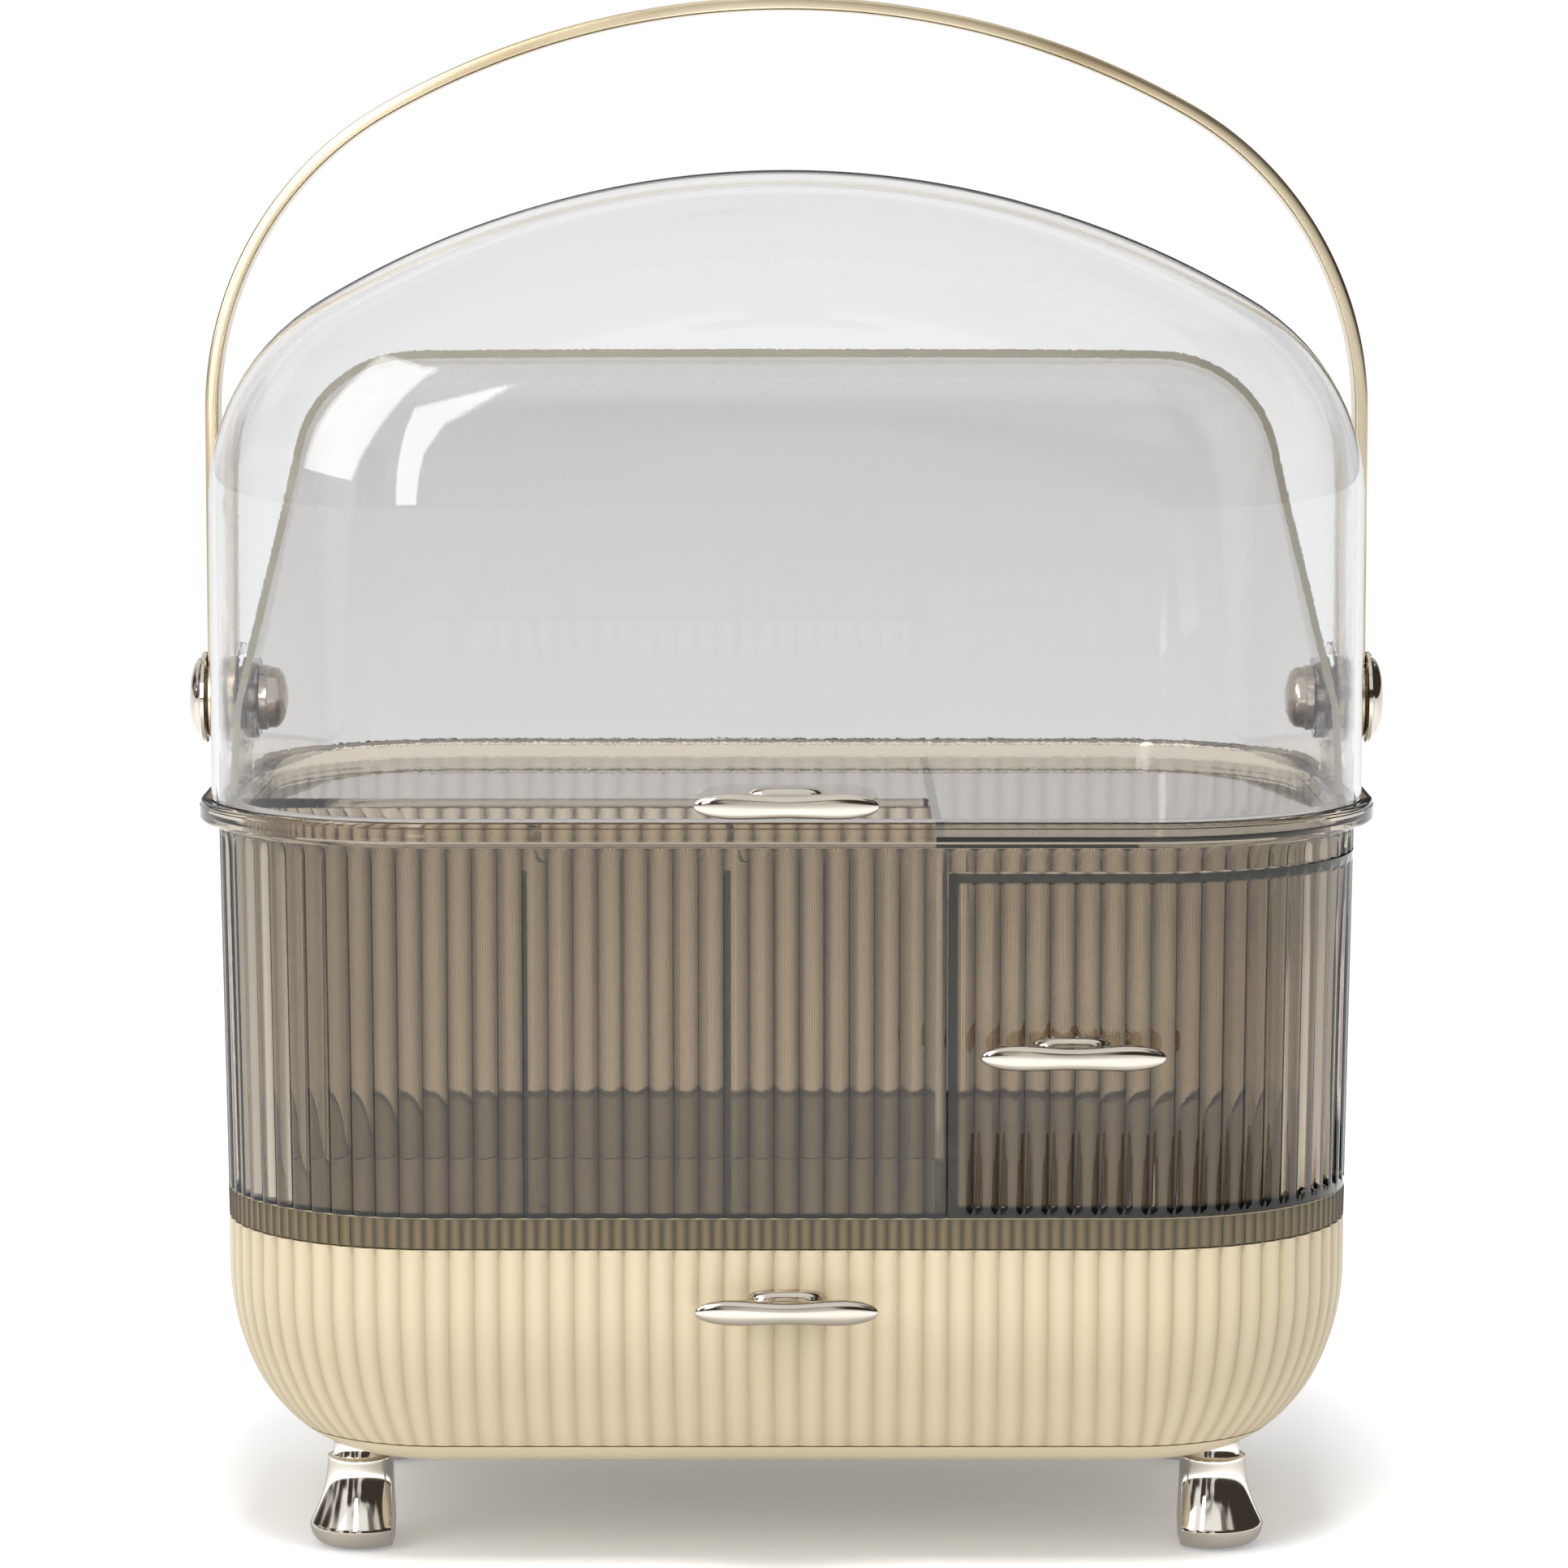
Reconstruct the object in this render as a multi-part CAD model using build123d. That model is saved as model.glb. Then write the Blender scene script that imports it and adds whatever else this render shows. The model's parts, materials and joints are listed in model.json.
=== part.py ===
"""Makeup organizer: a ribbed cream base with a drawer, a smoked fluted case with open wells and a
corner drawer, a fixed hood over the rear half, a clear domed visor that tips back over the hood, and
a carrying handle on the same side pivots.

Millimetres. X points right, Z up and the front faces -Y. The origin is on the ground, in the middle
of the overall bounding box.
"""

import os
from math import asin, atan2, cos, degrees, radians, sin, sqrt

from build123d import *

# Outline of the body, seen from above
body_width = 300.0
body_depth = 200.0
corner_radius = 60.0
wall = 2.6
draft = 1.7

# Ribs round the outline: how many on each stretch, how deep, and the crest as a share of a rib
front_ribs = 28
corner_ribs = 14
side_ribs = 12
rib_depth = 1.1
rib_crest = 0.4
faded_rib_depth = 0.3
belt_rib_depth = 0.6

# Heights of the storeys, from the ground up
foot_height = 25.0
base_height = 63.0
belt_height = 8.0
case_height = 96.0
rim_height = 7.0

# Rounded bottom of the base
bowl_reach = 38.0
bowl_height = 50.0
pan_height = 7.0
pan_floor = 2.4

# Rim, deck, inner panels
rim_overhang = 5.0
rim_inset = 6.0
rim_chamfer = 1.8
deck_thickness = 2.6
panel = 2.4
divider = 2.0
belt_plate = 2.4
belt_skirt = 3.0
well_depth = 87.0
wide_well = 82.0
middle_well = 52.0
bay_left = 41.0
divider_drop = 6.0

# Clearances
seam = 0.4
run_gap = 0.3
turn_gap = 0.2
pin_play = 0.05

# Bottom drawer
drawer_seam_inset = 4.0
tray_wall = 2.0
tray_side_inset = 20.0
tray_back_inset = 16.0
tray_plan_radius = 42.0
tray_edge_radius = 24.0
tray_top_gap = 4.0
rail_x = 70.0
rail_width = 4.0
rail_length = 120.0

# Corner drawer
corner_seam_inset = 2.0
corner_front_height = 89.0
corner_box_height = 80.0
corner_box_wall = 1.8
corner_box_back_inset = 28.0
corner_box_side_gap = 1.2
corner_box_radius = 44.0

# Feet
foot_side_inset = 37.0
foot_front_inset = 48.0
foot_top_radius = 8.6
foot_knee_radius = 13.6
foot_knee_height = 6.0
foot_toe_radius = 9.6
foot_bend = 0.26
foot_bulge = 0.75
foot_neck_radius = 7.2
foot_collar = 1.0
pad_radius = 7.0
pad_height = 1.2
pad_showing = 0.5

# Pivots of visor and handle
pivot_rise = 22.0
pivot_radius = 3.0
cap_radius = 12.3
cap_height = 5.2
cap_edge = 1.0
nut_radius = 8.8
nut_height = 8.0
nut_edge = 2.4
washer_radius = 8.5
washer_inner = 0.9
washer_outer = 0.6
boss_radius = 11.0

# Hood
hood_wall = 2.2
hood_side_inset = 2.0
hood_radius = 96.0
hood_slope = 0.22
hood_corner_radius = 33.0
hood_front_low = -40.0
hood_front_high = 20.0

# Visor
visor_wall = 2.0
visor_side_overhang = 1.7
visor_rise = 164.2
visor_crown_radius = 237.5
visor_corner_radius = 60.0
visor_back_radius = 50.0
visor_back_y = -16.7
visor_back_lean = 22.0
visor_lobe_radius = 15.0
visor_foot_gap = 0.3
hood_clearance = 1.2

# Handle
handle_rise = 188.0
handle_spring = 77.0
handle_side_radius = 95.0
handle_thickness = 3.5
handle_width = 12.0
handle_eye_radius = 11.0

# Pulls
pull_length = 47.0
pull_height = 6.6
pull_waist = 4.9
pull_depth = 4.2
pull_taper = 14.0
pull_stand_off = 8.0
pull_plate_length = 20.0
pull_plate_height = 8.0
pull_plate_thickness = 1.6
pull_neck_length = 13.0
pull_neck_height = 4.0
base_pull_drop = 1.5
corner_pull_x = 73.0
corner_pull_z = 139.5
visor_pull_rise = 5.2

# Screws
screw_radius = 1.5
screw_head_radius = 3.0
screw_head_height = 1.6
screw_grip = 7.0

# Levels and lines that follow from the sizes above
base_top = foot_height + base_height
belt_top = base_top + belt_height
case_top = belt_top + case_height
rim_top = case_top + rim_height
pan_top = foot_height + pan_height
bowl_centre = foot_height + bowl_height
pivot_z = rim_top + pivot_rise
base_pull_z = bowl_centre - base_pull_drop
half_width = body_width / 2
half_depth = body_depth / 2
core_x = half_width - corner_radius
core_y = half_depth - corner_radius
well_back_y = -half_depth + wall + well_depth
drawer_seam_y = drawer_seam_inset - core_y
corner_seam_y = corner_seam_inset - core_y
tray_half_width = half_width - tray_side_inset
tray_back = half_depth - tray_back_inset
corner_box_back = half_depth - corner_box_back_inset
foot_x = half_width - foot_side_inset
foot_y = half_depth - foot_front_inset
hood_half_width = half_width - hood_side_inset
visor_half_width = half_width + visor_side_overhang
hood_boss_face = visor_half_width - visor_wall - 2 * turn_gap - washer_inner
strap_outer = visor_half_width + 2 * turn_gap + washer_outer + handle_thickness
cap_seat = strap_outer + turn_gap
visor_reach = half_depth + visor_half_width - half_width
front_reach = visor_reach + pull_stand_off + pull_depth
rear_reach = half_depth + rim_overhang
origin_shift = (front_reach - rear_reach) / 2


def inset_at(z):
    """How far the drafted outline has moved in at a height, measured from the rim's underside."""
    return draft * (case_top - z) / (case_top - base_top)


def rib_station(number):
    """The core point and outward direction of a rib, counted anticlockwise from the front's middle."""
    stretches = [
        (front_ribs / 2, (0, -core_y), (core_x, -core_y), -90, -90),
        (corner_ribs, (core_x, -core_y), (core_x, -core_y), -90, 0),
        (side_ribs, (core_x, -core_y), (core_x, core_y), 0, 0),
        (corner_ribs, (core_x, core_y), (core_x, core_y), 0, 90),
        (front_ribs, (core_x, core_y), (-core_x, core_y), 90, 90),
        (corner_ribs, (-core_x, core_y), (-core_x, core_y), 90, 180),
        (side_ribs, (-core_x, core_y), (-core_x, -core_y), 180, 180),
        (corner_ribs, (-core_x, -core_y), (-core_x, -core_y), 180, 270),
        (front_ribs / 2, (-core_x, -core_y), (0, -core_y), 270, 270),
    ]
    rest = number
    for count, start, end, start_angle, end_angle in stretches:
        if rest <= count:
            break
        rest -= count
    share = rest / count
    x = start[0] + (end[0] - start[0]) * share
    y = start[1] + (end[1] - start[1]) * share
    return x, y, radians(start_angle + (end_angle - start_angle) * share)


def rib_point(number, reach, z):
    """A point at a distance from the core, along the direction of a rib."""
    x, y, angle = rib_station(number)
    return Vector(x + reach * cos(angle), y + reach * sin(angle), z)


rib_total = 2 * front_ribs + 4 * corner_ribs + 2 * side_ribs


def ribbed_wire(inset, z, depth):
    """The body's outline as ribs with flat crests and slanted sides, the crests on the plain outline."""
    reach = corner_radius - inset
    points = []
    for number in range(rib_total):
        points.append(rib_point((number - rib_crest / 2) % rib_total, reach, z))
        points.append(rib_point(number + rib_crest / 2, reach, z))
        points.append(rib_point(number + 0.5, reach - depth, z))
    return Wire.make_polygon(points, close=True)


def notched_wire(inset, z, depth):
    """The body's outline as fine pointed ribs."""
    reach = corner_radius - inset
    points = []
    for number in range(rib_total):
        points.append(rib_point(number, reach, z))
        points.append(rib_point(number + 0.5, reach - depth, z))
    return Wire.make_polygon(points, close=True)


def plain_wire(inset, z):
    """The body's outline without ribs."""
    reach = corner_radius - inset
    outline = RectangleRounded(2 * (core_x + reach), 2 * (core_y + reach), reach)
    return outline.wire().moved(Location((0, 0, z)))


def plain_block(inset, low, high):
    """An upright block on the plain outline."""
    return extrude(make_face(plain_wire(inset, low).edges()), high - low, dir=(0, 0, 1))


def block(x0, x1, y0, y1, z0, z1):
    """A plain box between six planes."""
    centre = ((x0 + x1) / 2, (y0 + y1) / 2, (z0 + z1) / 2)
    return Location(centre) * Box(x1 - x0, y1 - y0, z1 - z0)


def rod(radius, start, end):
    """A round bar between two points."""
    axis = Vector(end) - Vector(start)
    return Part() + Solid.make_cylinder(radius, axis.length, Plane(start, z_dir=axis))


def lofted(wires, straight=False):
    """A solid through closed outlines, straight or smooth from each one to the next."""
    return Part() + Solid.make_loft(wires, straight)


def facing(y, z=0.0, x=0.0):
    """An upright drawing plane that looks to the front."""
    return Plane(origin=(x, y, z), x_dir=(1, 0, 0), z_dir=(0, -1, 0))


def case_cavity(low, high):
    """The space inside the drafted case walls."""
    return lofted([plain_wire(inset_at(z) + wall, z) for z in (low, high)], True)


def bowl_sections(reach, height, start_inset, lowest):
    """Insets and heights down the rounded side of the base, as far as a level."""
    sections = [(inset_at(base_top) + start_inset, base_top)]
    last = degrees(atan2((bowl_centre - lowest) / height, sqrt(1 - ((bowl_centre - lowest) / height) ** 2)))
    steps = 6
    for step in range(steps + 1):
        angle = radians(last * step / steps)
        inset = draft + start_inset + reach * (1 - cos(angle))
        sections.append((inset, bowl_centre - height * sin(angle)))
    return sections


def ribbed_bowl():
    """The ribbed outside of the base above the pan, its ribs fading towards the bottom."""
    wires = []
    for inset, z in bowl_sections(bowl_reach, bowl_height, 0, pan_top):
        share = (base_top - z) / (base_top - pan_top)
        depth = rib_depth + (faded_rib_depth - rib_depth) * share ** 2
        wires.append(ribbed_wire(inset, z, depth))
    return lofted(wires)


def bowl_cavity():
    """The space inside the base, from the pan's floor to the top."""
    height = bowl_height - pan_floor
    wires = [plain_wire(i, z) for i, z in bowl_sections(bowl_reach - 2, height, wall, foot_height + pan_floor)]
    return lofted(wires)


def pan_outside():
    """The smooth bottom of the base, below the ribs."""
    wires = []
    top = degrees(atan2((bowl_height - pan_height) / bowl_height, sqrt(1 - (1 - pan_height / bowl_height) ** 2)))
    steps = 5
    for step in range(steps + 1):
        angle = radians(top + (90 - top) * step / steps)
        wires.append(plain_wire(draft + bowl_reach * (1 - cos(angle)), bowl_centre - bowl_height * sin(angle)))
    return lofted(wires)


def tub(half, back, bottom, top, plan_radius, edge_radius):
    """A round-bottomed block, open-ended towards the front, for drawer trays."""
    body = block(-half, half, -half_depth, back, bottom, top)
    uprights = body.edges().filter_by(Axis.Z).sort_by(Axis.Y)[-2:]
    body = fillet(uprights, plan_radius)
    under = body.edges().group_by(Axis.Z)[0].sort_by(Axis.Y)[1:]
    return fillet(under, edge_radius)


def pull(outward_y, x, z):
    """A bow-shaped pull on a neck and an oval plate, with its plate reaching back to the ribs' roots."""
    crest = pull_height / 2
    end_x = pull_length / 2
    tip_x = end_x - crest
    waist = pull_waist - crest
    bow = make_face([
        ThreePointArc((-tip_x, crest), (-end_x, 0), (-tip_x, -crest)),
        Line((-tip_x, -crest), (tip_x, -crest)),
        ThreePointArc((tip_x, -crest), (end_x, 0), (tip_x, crest)),
        ThreePointArc((tip_x, crest), (0, waist), (-tip_x, crest)),
    ])
    bar = extrude(facing(outward_y - pull_stand_off, z, x) * bow, pull_depth, taper=pull_taper)
    root = rib_depth + run_gap
    seat = facing(outward_y + root, z, x)
    neck = extrude(seat * SlotOverall(pull_neck_length, pull_neck_height), root + pull_stand_off)
    plate = extrude(seat * Ellipse(pull_plate_length / 2, pull_plate_height / 2), root + pull_plate_thickness)
    return bar + neck + plate


def pull_screw(inner_y, x, z, reach):
    """A screw from inside a front into a pull's neck."""
    shank = rod(screw_radius, (x, inner_y, z), (x, inner_y - reach, z))
    head = rod(screw_head_radius, (x, inner_y + screw_head_height, z), (x, inner_y, z))
    return shank + head


def hood_profile(shrink):
    """The hood's section through the pivot axis, seen from the front, above the axis."""
    radius = hood_radius - shrink
    low = hood_half_width - shrink
    high = low - hood_slope * radius
    outline = make_face(Polyline((low, 0), (high, radius), (-high, radius), (-low, 0), close=True))
    corners = outline.vertices().group_by(Axis.Y)[-1]
    return fillet(corners, hood_corner_radius - shrink)


def hood_form(shrink):
    """The hood's solid shape: straight in front of the pivots, round behind and above them."""
    profile = facing(0, pivot_z) * hood_profile(shrink)
    reach = -hood_front_low + wall
    front = extrude(profile, reach)
    back = revolve(profile, Axis((0, 0, pivot_z), (-1, 0, 0)), 90)
    plan = profile.rotate(Axis((0, 0, pivot_z), (-1, 0, 0)), 90)
    skirt = extrude(plan, pivot_rise, dir=(0, 0, -1))
    low = hood_half_width - shrink
    apron = block(-low, low, -reach, 0, rim_top, pivot_z)
    return front + back + skirt + apron


def visor_crown(x, shrink):
    """Height of the visor's top above the ground, at a distance from the middle."""
    crown = visor_crown_radius - shrink
    crown_centre = rim_top + visor_rise - visor_crown_radius
    shoulder = visor_corner_radius - shrink
    shoulder_x = visor_half_width - visor_corner_radius
    drop = sqrt((visor_crown_radius - visor_corner_radius) ** 2 - shoulder_x ** 2)
    touch_x = shoulder_x * crown / (visor_crown_radius - visor_corner_radius)
    if x <= touch_x:
        return crown_centre + sqrt(crown ** 2 - x ** 2)
    return crown_centre + drop + sqrt(max(shoulder ** 2 - (x - shoulder_x) ** 2, 0))


visor_shoulder_z = (rim_top + visor_rise - visor_crown_radius
                    + sqrt((visor_crown_radius - visor_corner_radius) ** 2
                           - (visor_half_width - visor_corner_radius) ** 2))
visor_front_core = -visor_reach + visor_corner_radius


def corner_reach(x, radius, shrink):
    """How far a rounded corner still reaches out, at a distance from the middle."""
    past = x - (visor_half_width - radius)
    full = radius - shrink
    if past <= 0:
        return full
    return sqrt(max(full ** 2 - past ** 2, 0))


def visor_section(x, shrink):
    """The visor's outline in an upright plane across X: front, crown and back in one closed wire."""
    distance = abs(x)
    front = visor_front_core - corner_reach(distance, visor_corner_radius, shrink)
    back = visor_back_y + corner_reach(distance, visor_back_radius, shrink)
    top = visor_crown(distance, shrink)
    low = rim_top + visor_foot_gap
    quarter = sqrt(0.5)
    rise = top - visor_shoulder_z

    def at(y, z):
        return Vector(x, y, z)

    front_mid = at(visor_front_core + (front - visor_front_core) * quarter, visor_shoulder_z + rise * quarter)
    back_mid = at(visor_back_y + (back - visor_back_y) * quarter, visor_shoulder_z + rise * quarter)
    front_high = at(front, visor_shoulder_z)
    back_high = at(back, visor_shoulder_z)
    up = Vector(0, 0, 1)
    along = Vector(0, 1, 0)
    return Wire([
        Edge.make_line(at(front, low), front_high),
        Edge.make_spline([front_high, front_mid, at(visor_front_core, top)], tangents=[up, along]),
        Edge.make_line(at(visor_front_core, top), at(visor_back_y, top)),
        Edge.make_spline([at(visor_back_y, top), back_mid, back_high], tangents=[along, -up]),
        Edge.make_line(back_high, at(back, low)),
        Edge.make_line(at(back, low), at(front, low)),
    ])


def visor_form(shrink):
    """The visor's closed shape, lofted across the width through its upright sections."""
    limit = visor_half_width - shrink
    core = visor_half_width - visor_corner_radius
    steps = 5
    rounded = [core + (limit - core) * sin(radians(90 * step / steps)) for step in range(steps)]
    stations = [0, core / 3, core * 2 / 3] + rounded + [limit - 0.15]
    stations = [-x for x in reversed(stations[1:])] + stations
    return lofted([visor_section(x, shrink) for x in stations])


def behind_visor(shift):
    """Everything behind the visor's leaning back plane."""
    lean = Plane((0, -shift, pivot_z), x_dir=(1, 0, 0), z_dir=(0, cos(radians(visor_back_lean)),
                                                              -sin(radians(visor_back_lean))))
    return extrude(lean * Rectangle(2 * body_width, 2 * body_width), body_width)


def build_visor():
    """The clear dome, its leaning back with the opening for the hood, and its pivot lobes."""
    shell = visor_form(0) - behind_visor(0)
    hollow = visor_form(visor_wall) - behind_visor(visor_wall)
    limit = visor_half_width - visor_wall
    over_boss = pivot_z + boss_radius + hood_clearance
    hollow += block(-limit, limit, visor_front_core, half_depth, rim_top, over_boss)
    profile = facing(0, pivot_z) * hood_profile(-hood_clearance)
    profile = profile.rotate(Axis((0, 0, pivot_z), (-1, 0, 0)), -10)
    passage = revolve(profile, Axis((0, 0, pivot_z), (-1, 0, 0)), 60)
    visor = shell - hollow - passage
    for side in (-1, 1):
        inner = side * (visor_half_width - visor_wall)
        outer = side * visor_half_width
        visor += rod(visor_lobe_radius, (inner, 0, pivot_z), (outer, 0, pivot_z))
        reach = side * (visor_half_width + visor_wall)
        visor -= rod(pivot_radius + pin_play, (inner - side, 0, pivot_z), (reach, 0, pivot_z))
    return visor


def handle_outline(shrink):
    """The handle's arch seen from the front: straight sides, side arcs and a flatter top arc."""
    half = strap_outer - shrink
    side = handle_side_radius - shrink
    side_x = half - side
    spring_z = handle_spring
    rise = handle_rise - handle_spring
    full = handle_side_radius
    full_x = strap_outer - full
    crown = (full_x ** 2 + rise ** 2 - full ** 2) / (2 * (rise - full))
    crown_z = spring_z + rise - crown
    angle = atan2(spring_z - crown_z, full_x)
    crown -= shrink
    touch = (crown * cos(angle), crown_z + crown * sin(angle))
    middle = (angle) / 2
    side_mid = (side_x + side * cos(middle), spring_z + side * sin(middle))
    edges = [
        Line((half, 0), (half, spring_z)),
        ThreePointArc((half, spring_z), side_mid, touch),
        ThreePointArc(touch, (0, crown_z + crown), (-touch[0], touch[1])),
        ThreePointArc((-touch[0], touch[1]), (-side_mid[0], side_mid[1]), (-half, spring_z)),
        Line((-half, spring_z), (-half, 0)),
        Line((-half, 0), (half, 0)),
    ]
    return make_face(edges)


def build_handle():
    """The flat band bent into an arch, with a round eye at each end."""
    arch = handle_outline(0) - handle_outline(handle_thickness)
    band = extrude(facing(handle_width / 2, pivot_z) * arch, handle_width)
    for side in (-1, 1):
        outer = side * strap_outer
        inner = side * (strap_outer - handle_thickness)
        band += rod(handle_eye_radius, (inner, 0, pivot_z), (outer, 0, pivot_z))
        band -= rod(pivot_radius + pin_play, (inner - side, 0, pivot_z), (outer + side, 0, pivot_z))
    return band


def build_base():
    """The pan with its rails, the ribbed casing, the drawer's ribbed front and its tray."""
    cavity = bowl_cavity()
    pan = pan_outside() - cavity
    for side in (-1, 1):
        x = side * rail_x
        top = pan_top + seam - run_gap
        pan += block(x - rail_width / 2, x + rail_width / 2, -rail_length / 2, rail_length / 2,
                     foot_height + pan_floor / 2, top)
    ring = ribbed_bowl() - cavity
    big = body_width
    casing = ring - block(-big, big, -big, drawer_seam_y, 0, big)
    front = ring & block(-big, big, -big, drawer_seam_y - seam, pan_top + seam, base_top - seam)
    bottom = pan_top + seam
    top = base_top - tray_top_gap
    tray = tub(tray_half_width, tray_back, bottom, top, tray_plan_radius, tray_edge_radius)
    tray -= tub(tray_half_width - tray_wall, tray_back - tray_wall, bottom + tray_wall, top + tray_wall,
                tray_plan_radius - tray_wall, tray_edge_radius - tray_wall)
    return pan, casing, front, tray & cavity


def build_foot(pan_block):
    """The front left foot: flared to a rounded knee, flat towards the middle, its neck seated on the pan."""
    high = foot_height - foot_collar
    flare = foot_knee_radius - foot_top_radius
    tuck = foot_knee_radius - foot_toe_radius
    toe = (foot_toe_radius, pad_showing)
    ball = (foot_toe_radius + tuck * foot_bulge, pad_showing + (foot_knee_height - pad_showing) * (1 - foot_bulge))
    knee = (foot_knee_radius, foot_knee_height)
    top = (foot_top_radius, high)
    bend = (foot_top_radius + flare * foot_bend, (foot_knee_height + high) / 2)
    outline = make_face([
        Line((0, pad_showing), toe),
        ThreePointArc(toe, ball, knee),
        ThreePointArc(knee, bend, top),
        Line(top, (0, high)),
        Line((0, high), (0, pad_showing)),
    ])
    body = revolve(Plane.XZ * outline, Axis.Z)
    body += rod(foot_neck_radius, (0, 0, high), (0, 0, pan_top))
    body -= block(foot_top_radius, 2 * foot_top_radius, -body_width, body_width, 0, high)
    body -= rod(pad_radius, (0, 0, 0), (0, 0, pad_height))
    return body.moved(Location((-foot_x, -foot_y, 0))) - pan_block


def build_case():
    """The belt, the fluted case wall and the fluted front of the corner drawer."""
    skirt = lofted([notched_wire(inset_at(z), z, belt_rib_depth) for z in (base_top, belt_top)], True)
    belt = skirt - plain_block(inset_at(base_top) + belt_skirt, base_top, belt_top - belt_plate)
    ring = lofted([ribbed_wire(inset_at(z), z, rib_depth) for z in (belt_top, case_top)], True)
    ring -= case_cavity(belt_top, case_top)
    big = body_width
    front_top = belt_top + seam + corner_front_height
    fixed = ring - block(bay_left, big, -big, corner_seam_y + seam, 0, front_top + seam)
    front = ring & block(bay_left + seam, big, -big, corner_seam_y, belt_top + seam, front_top)
    return belt, fixed, front


def build_panels():
    """The bay's side wall, the wells' back and the two dividers, cut to the inside of the case."""
    cavity = case_cavity(belt_top, case_top)
    big = body_width
    side = block(bay_left - seam - panel, bay_left - seam, -big, big, belt_top, case_top) & cavity
    back = block(-big, bay_left - seam - panel, well_back_y, well_back_y + panel, belt_top, case_top) & cavity
    dividers = []
    last = -half_width + wide_well
    for width in (0, middle_well):
        last += width
        dividers.append(block(last, last + divider, -big, well_back_y, belt_top, case_top - divider_drop) & cavity)
    return side, back, dividers


def build_rim():
    """The flanged rim and the deck plate inside it, open over the wells."""
    ring = plain_block(-rim_overhang, case_top, rim_top)
    ring = chamfer(ring.edges().group_by(Axis.Z)[0], rim_chamfer)
    ring = fillet(ring.edges().group_by(Axis.Z)[-1], rim_chamfer)
    ring -= plain_block(rim_inset, case_top, rim_top)
    deck = plain_block(rim_inset, case_top, case_top + deck_thickness)
    big = body_width
    deck -= block(-big, bay_left - seam - panel, -big, well_back_y, 0, big)
    return ring, deck


def build_corner_box():
    """The corner drawer's open box, meeting the inside of its fluted front."""
    left = bay_left + 2 * seam
    right = half_width - wall - inset_at(belt_top) - corner_box_side_gap
    bottom = belt_top + seam
    top = bottom + corner_box_height
    shell = block(left, right, -half_depth, corner_box_back, bottom, top)
    rear = shell.edges().filter_by(Axis.Z).sort_by(Axis.Y)[-2:].sort_by(Axis.X)[-1]
    shell = fillet(rear, corner_box_radius)
    wall_in = corner_box_wall
    hollow = block(left + wall_in, right - wall_in, -half_depth, corner_box_back - wall_in, bottom + wall_in,
                   top + wall_in)
    rear = hollow.edges().filter_by(Axis.Z).sort_by(Axis.Y)[-2:].sort_by(Axis.X)[-1]
    hollow = fillet(rear, corner_box_radius - wall_in)
    return (shell - hollow) & case_cavity(belt_top, case_top)


def build_hood():
    """The fixed rear hood with its leaning front edge and a boss at each pivot."""
    hood = hood_form(0) - hood_form(hood_wall)
    big = body_width
    high = rim_top + hood_radius + pivot_rise
    slope = (hood_front_high - hood_front_low) / (high - rim_top)
    ahead = make_face(Polyline((-big, rim_top - 1), (hood_front_low - slope, rim_top - 1),
                               (hood_front_high + slope, high + 1), (-big, high + 1), close=True))
    hood -= extrude(Plane.YZ.offset(-big) * ahead, 2 * big)
    for side in (-1, 1):
        inner = side * (hood_half_width - hood_wall)
        outer = side * hood_boss_face
        hood += rod(boss_radius, (inner - side * hood_wall, 0, pivot_z), (outer, 0, pivot_z))
        hood -= rod(pivot_radius, (inner - side * 4 * hood_wall, 0, pivot_z), (outer + side, 0, pivot_z))
    return hood


def build_pivot(side):
    """A domed cap with its pin, the inner cap nut, and the two washers, on one side."""
    inner_seat = side * (hood_half_width - 2 * hood_wall)
    seat = side * cap_seat
    crown = side * (cap_seat + cap_height)
    shoulder = (seat + side * cap_edge, pivot_z + cap_radius)
    dome_rise = cap_height - cap_edge
    dome_radius = (cap_radius ** 2 + dome_rise ** 2) / (2 * dome_rise)
    halfway = asin(cap_radius / dome_radius) / 2
    bulge = (crown - side * dome_radius * (1 - cos(halfway)), pivot_z + dome_radius * sin(halfway))
    pin_end = inner_seat - side * nut_height * 0.75
    pin_top = pivot_z + pivot_radius
    half_section = make_face([
        Line((pin_end, pivot_z), (pin_end, pin_top)),
        Line((pin_end, pin_top), (seat, pin_top)),
        Line((seat, pin_top), (seat, pivot_z + cap_radius)),
        Line((seat, pivot_z + cap_radius), shoulder),
        ThreePointArc(shoulder, bulge, (crown, pivot_z)),
        Line((crown, pivot_z), (pin_end, pivot_z)),
    ])
    cap = revolve(facing(0) * half_section, Axis((0, 0, pivot_z), (1, 0, 0)))
    nut_end = inner_seat - side * nut_height
    nut = rod(nut_radius, (nut_end, 0, pivot_z), (inner_seat, 0, pivot_z))
    rounded = nut.faces().sort_by(Axis.X)
    rounded = rounded[0] if side > 0 else rounded[-1]
    nut = chamfer(rounded.edges(), nut_edge)
    nut -= rod(pivot_radius, (pin_end, 0, pivot_z), (inner_seat, 0, pivot_z))
    washers = []
    for start, thickness in (
        (hood_boss_face + turn_gap, washer_inner),
        (visor_half_width + turn_gap, washer_outer),
    ):
        ends = (side * start, 0, pivot_z), (side * (start + thickness), 0, pivot_z)
        washers.append(rod(washer_radius, *ends) - rod(pivot_radius + pin_play, *ends))
    return cap, nut, washers


parts = {}
pan, casing, base_front, base_tray = build_base()
belt, case_wall, corner_front = build_case()
bay_wall, well_back, dividers = build_panels()
rim, deck = build_rim()
visor = build_visor()

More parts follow.
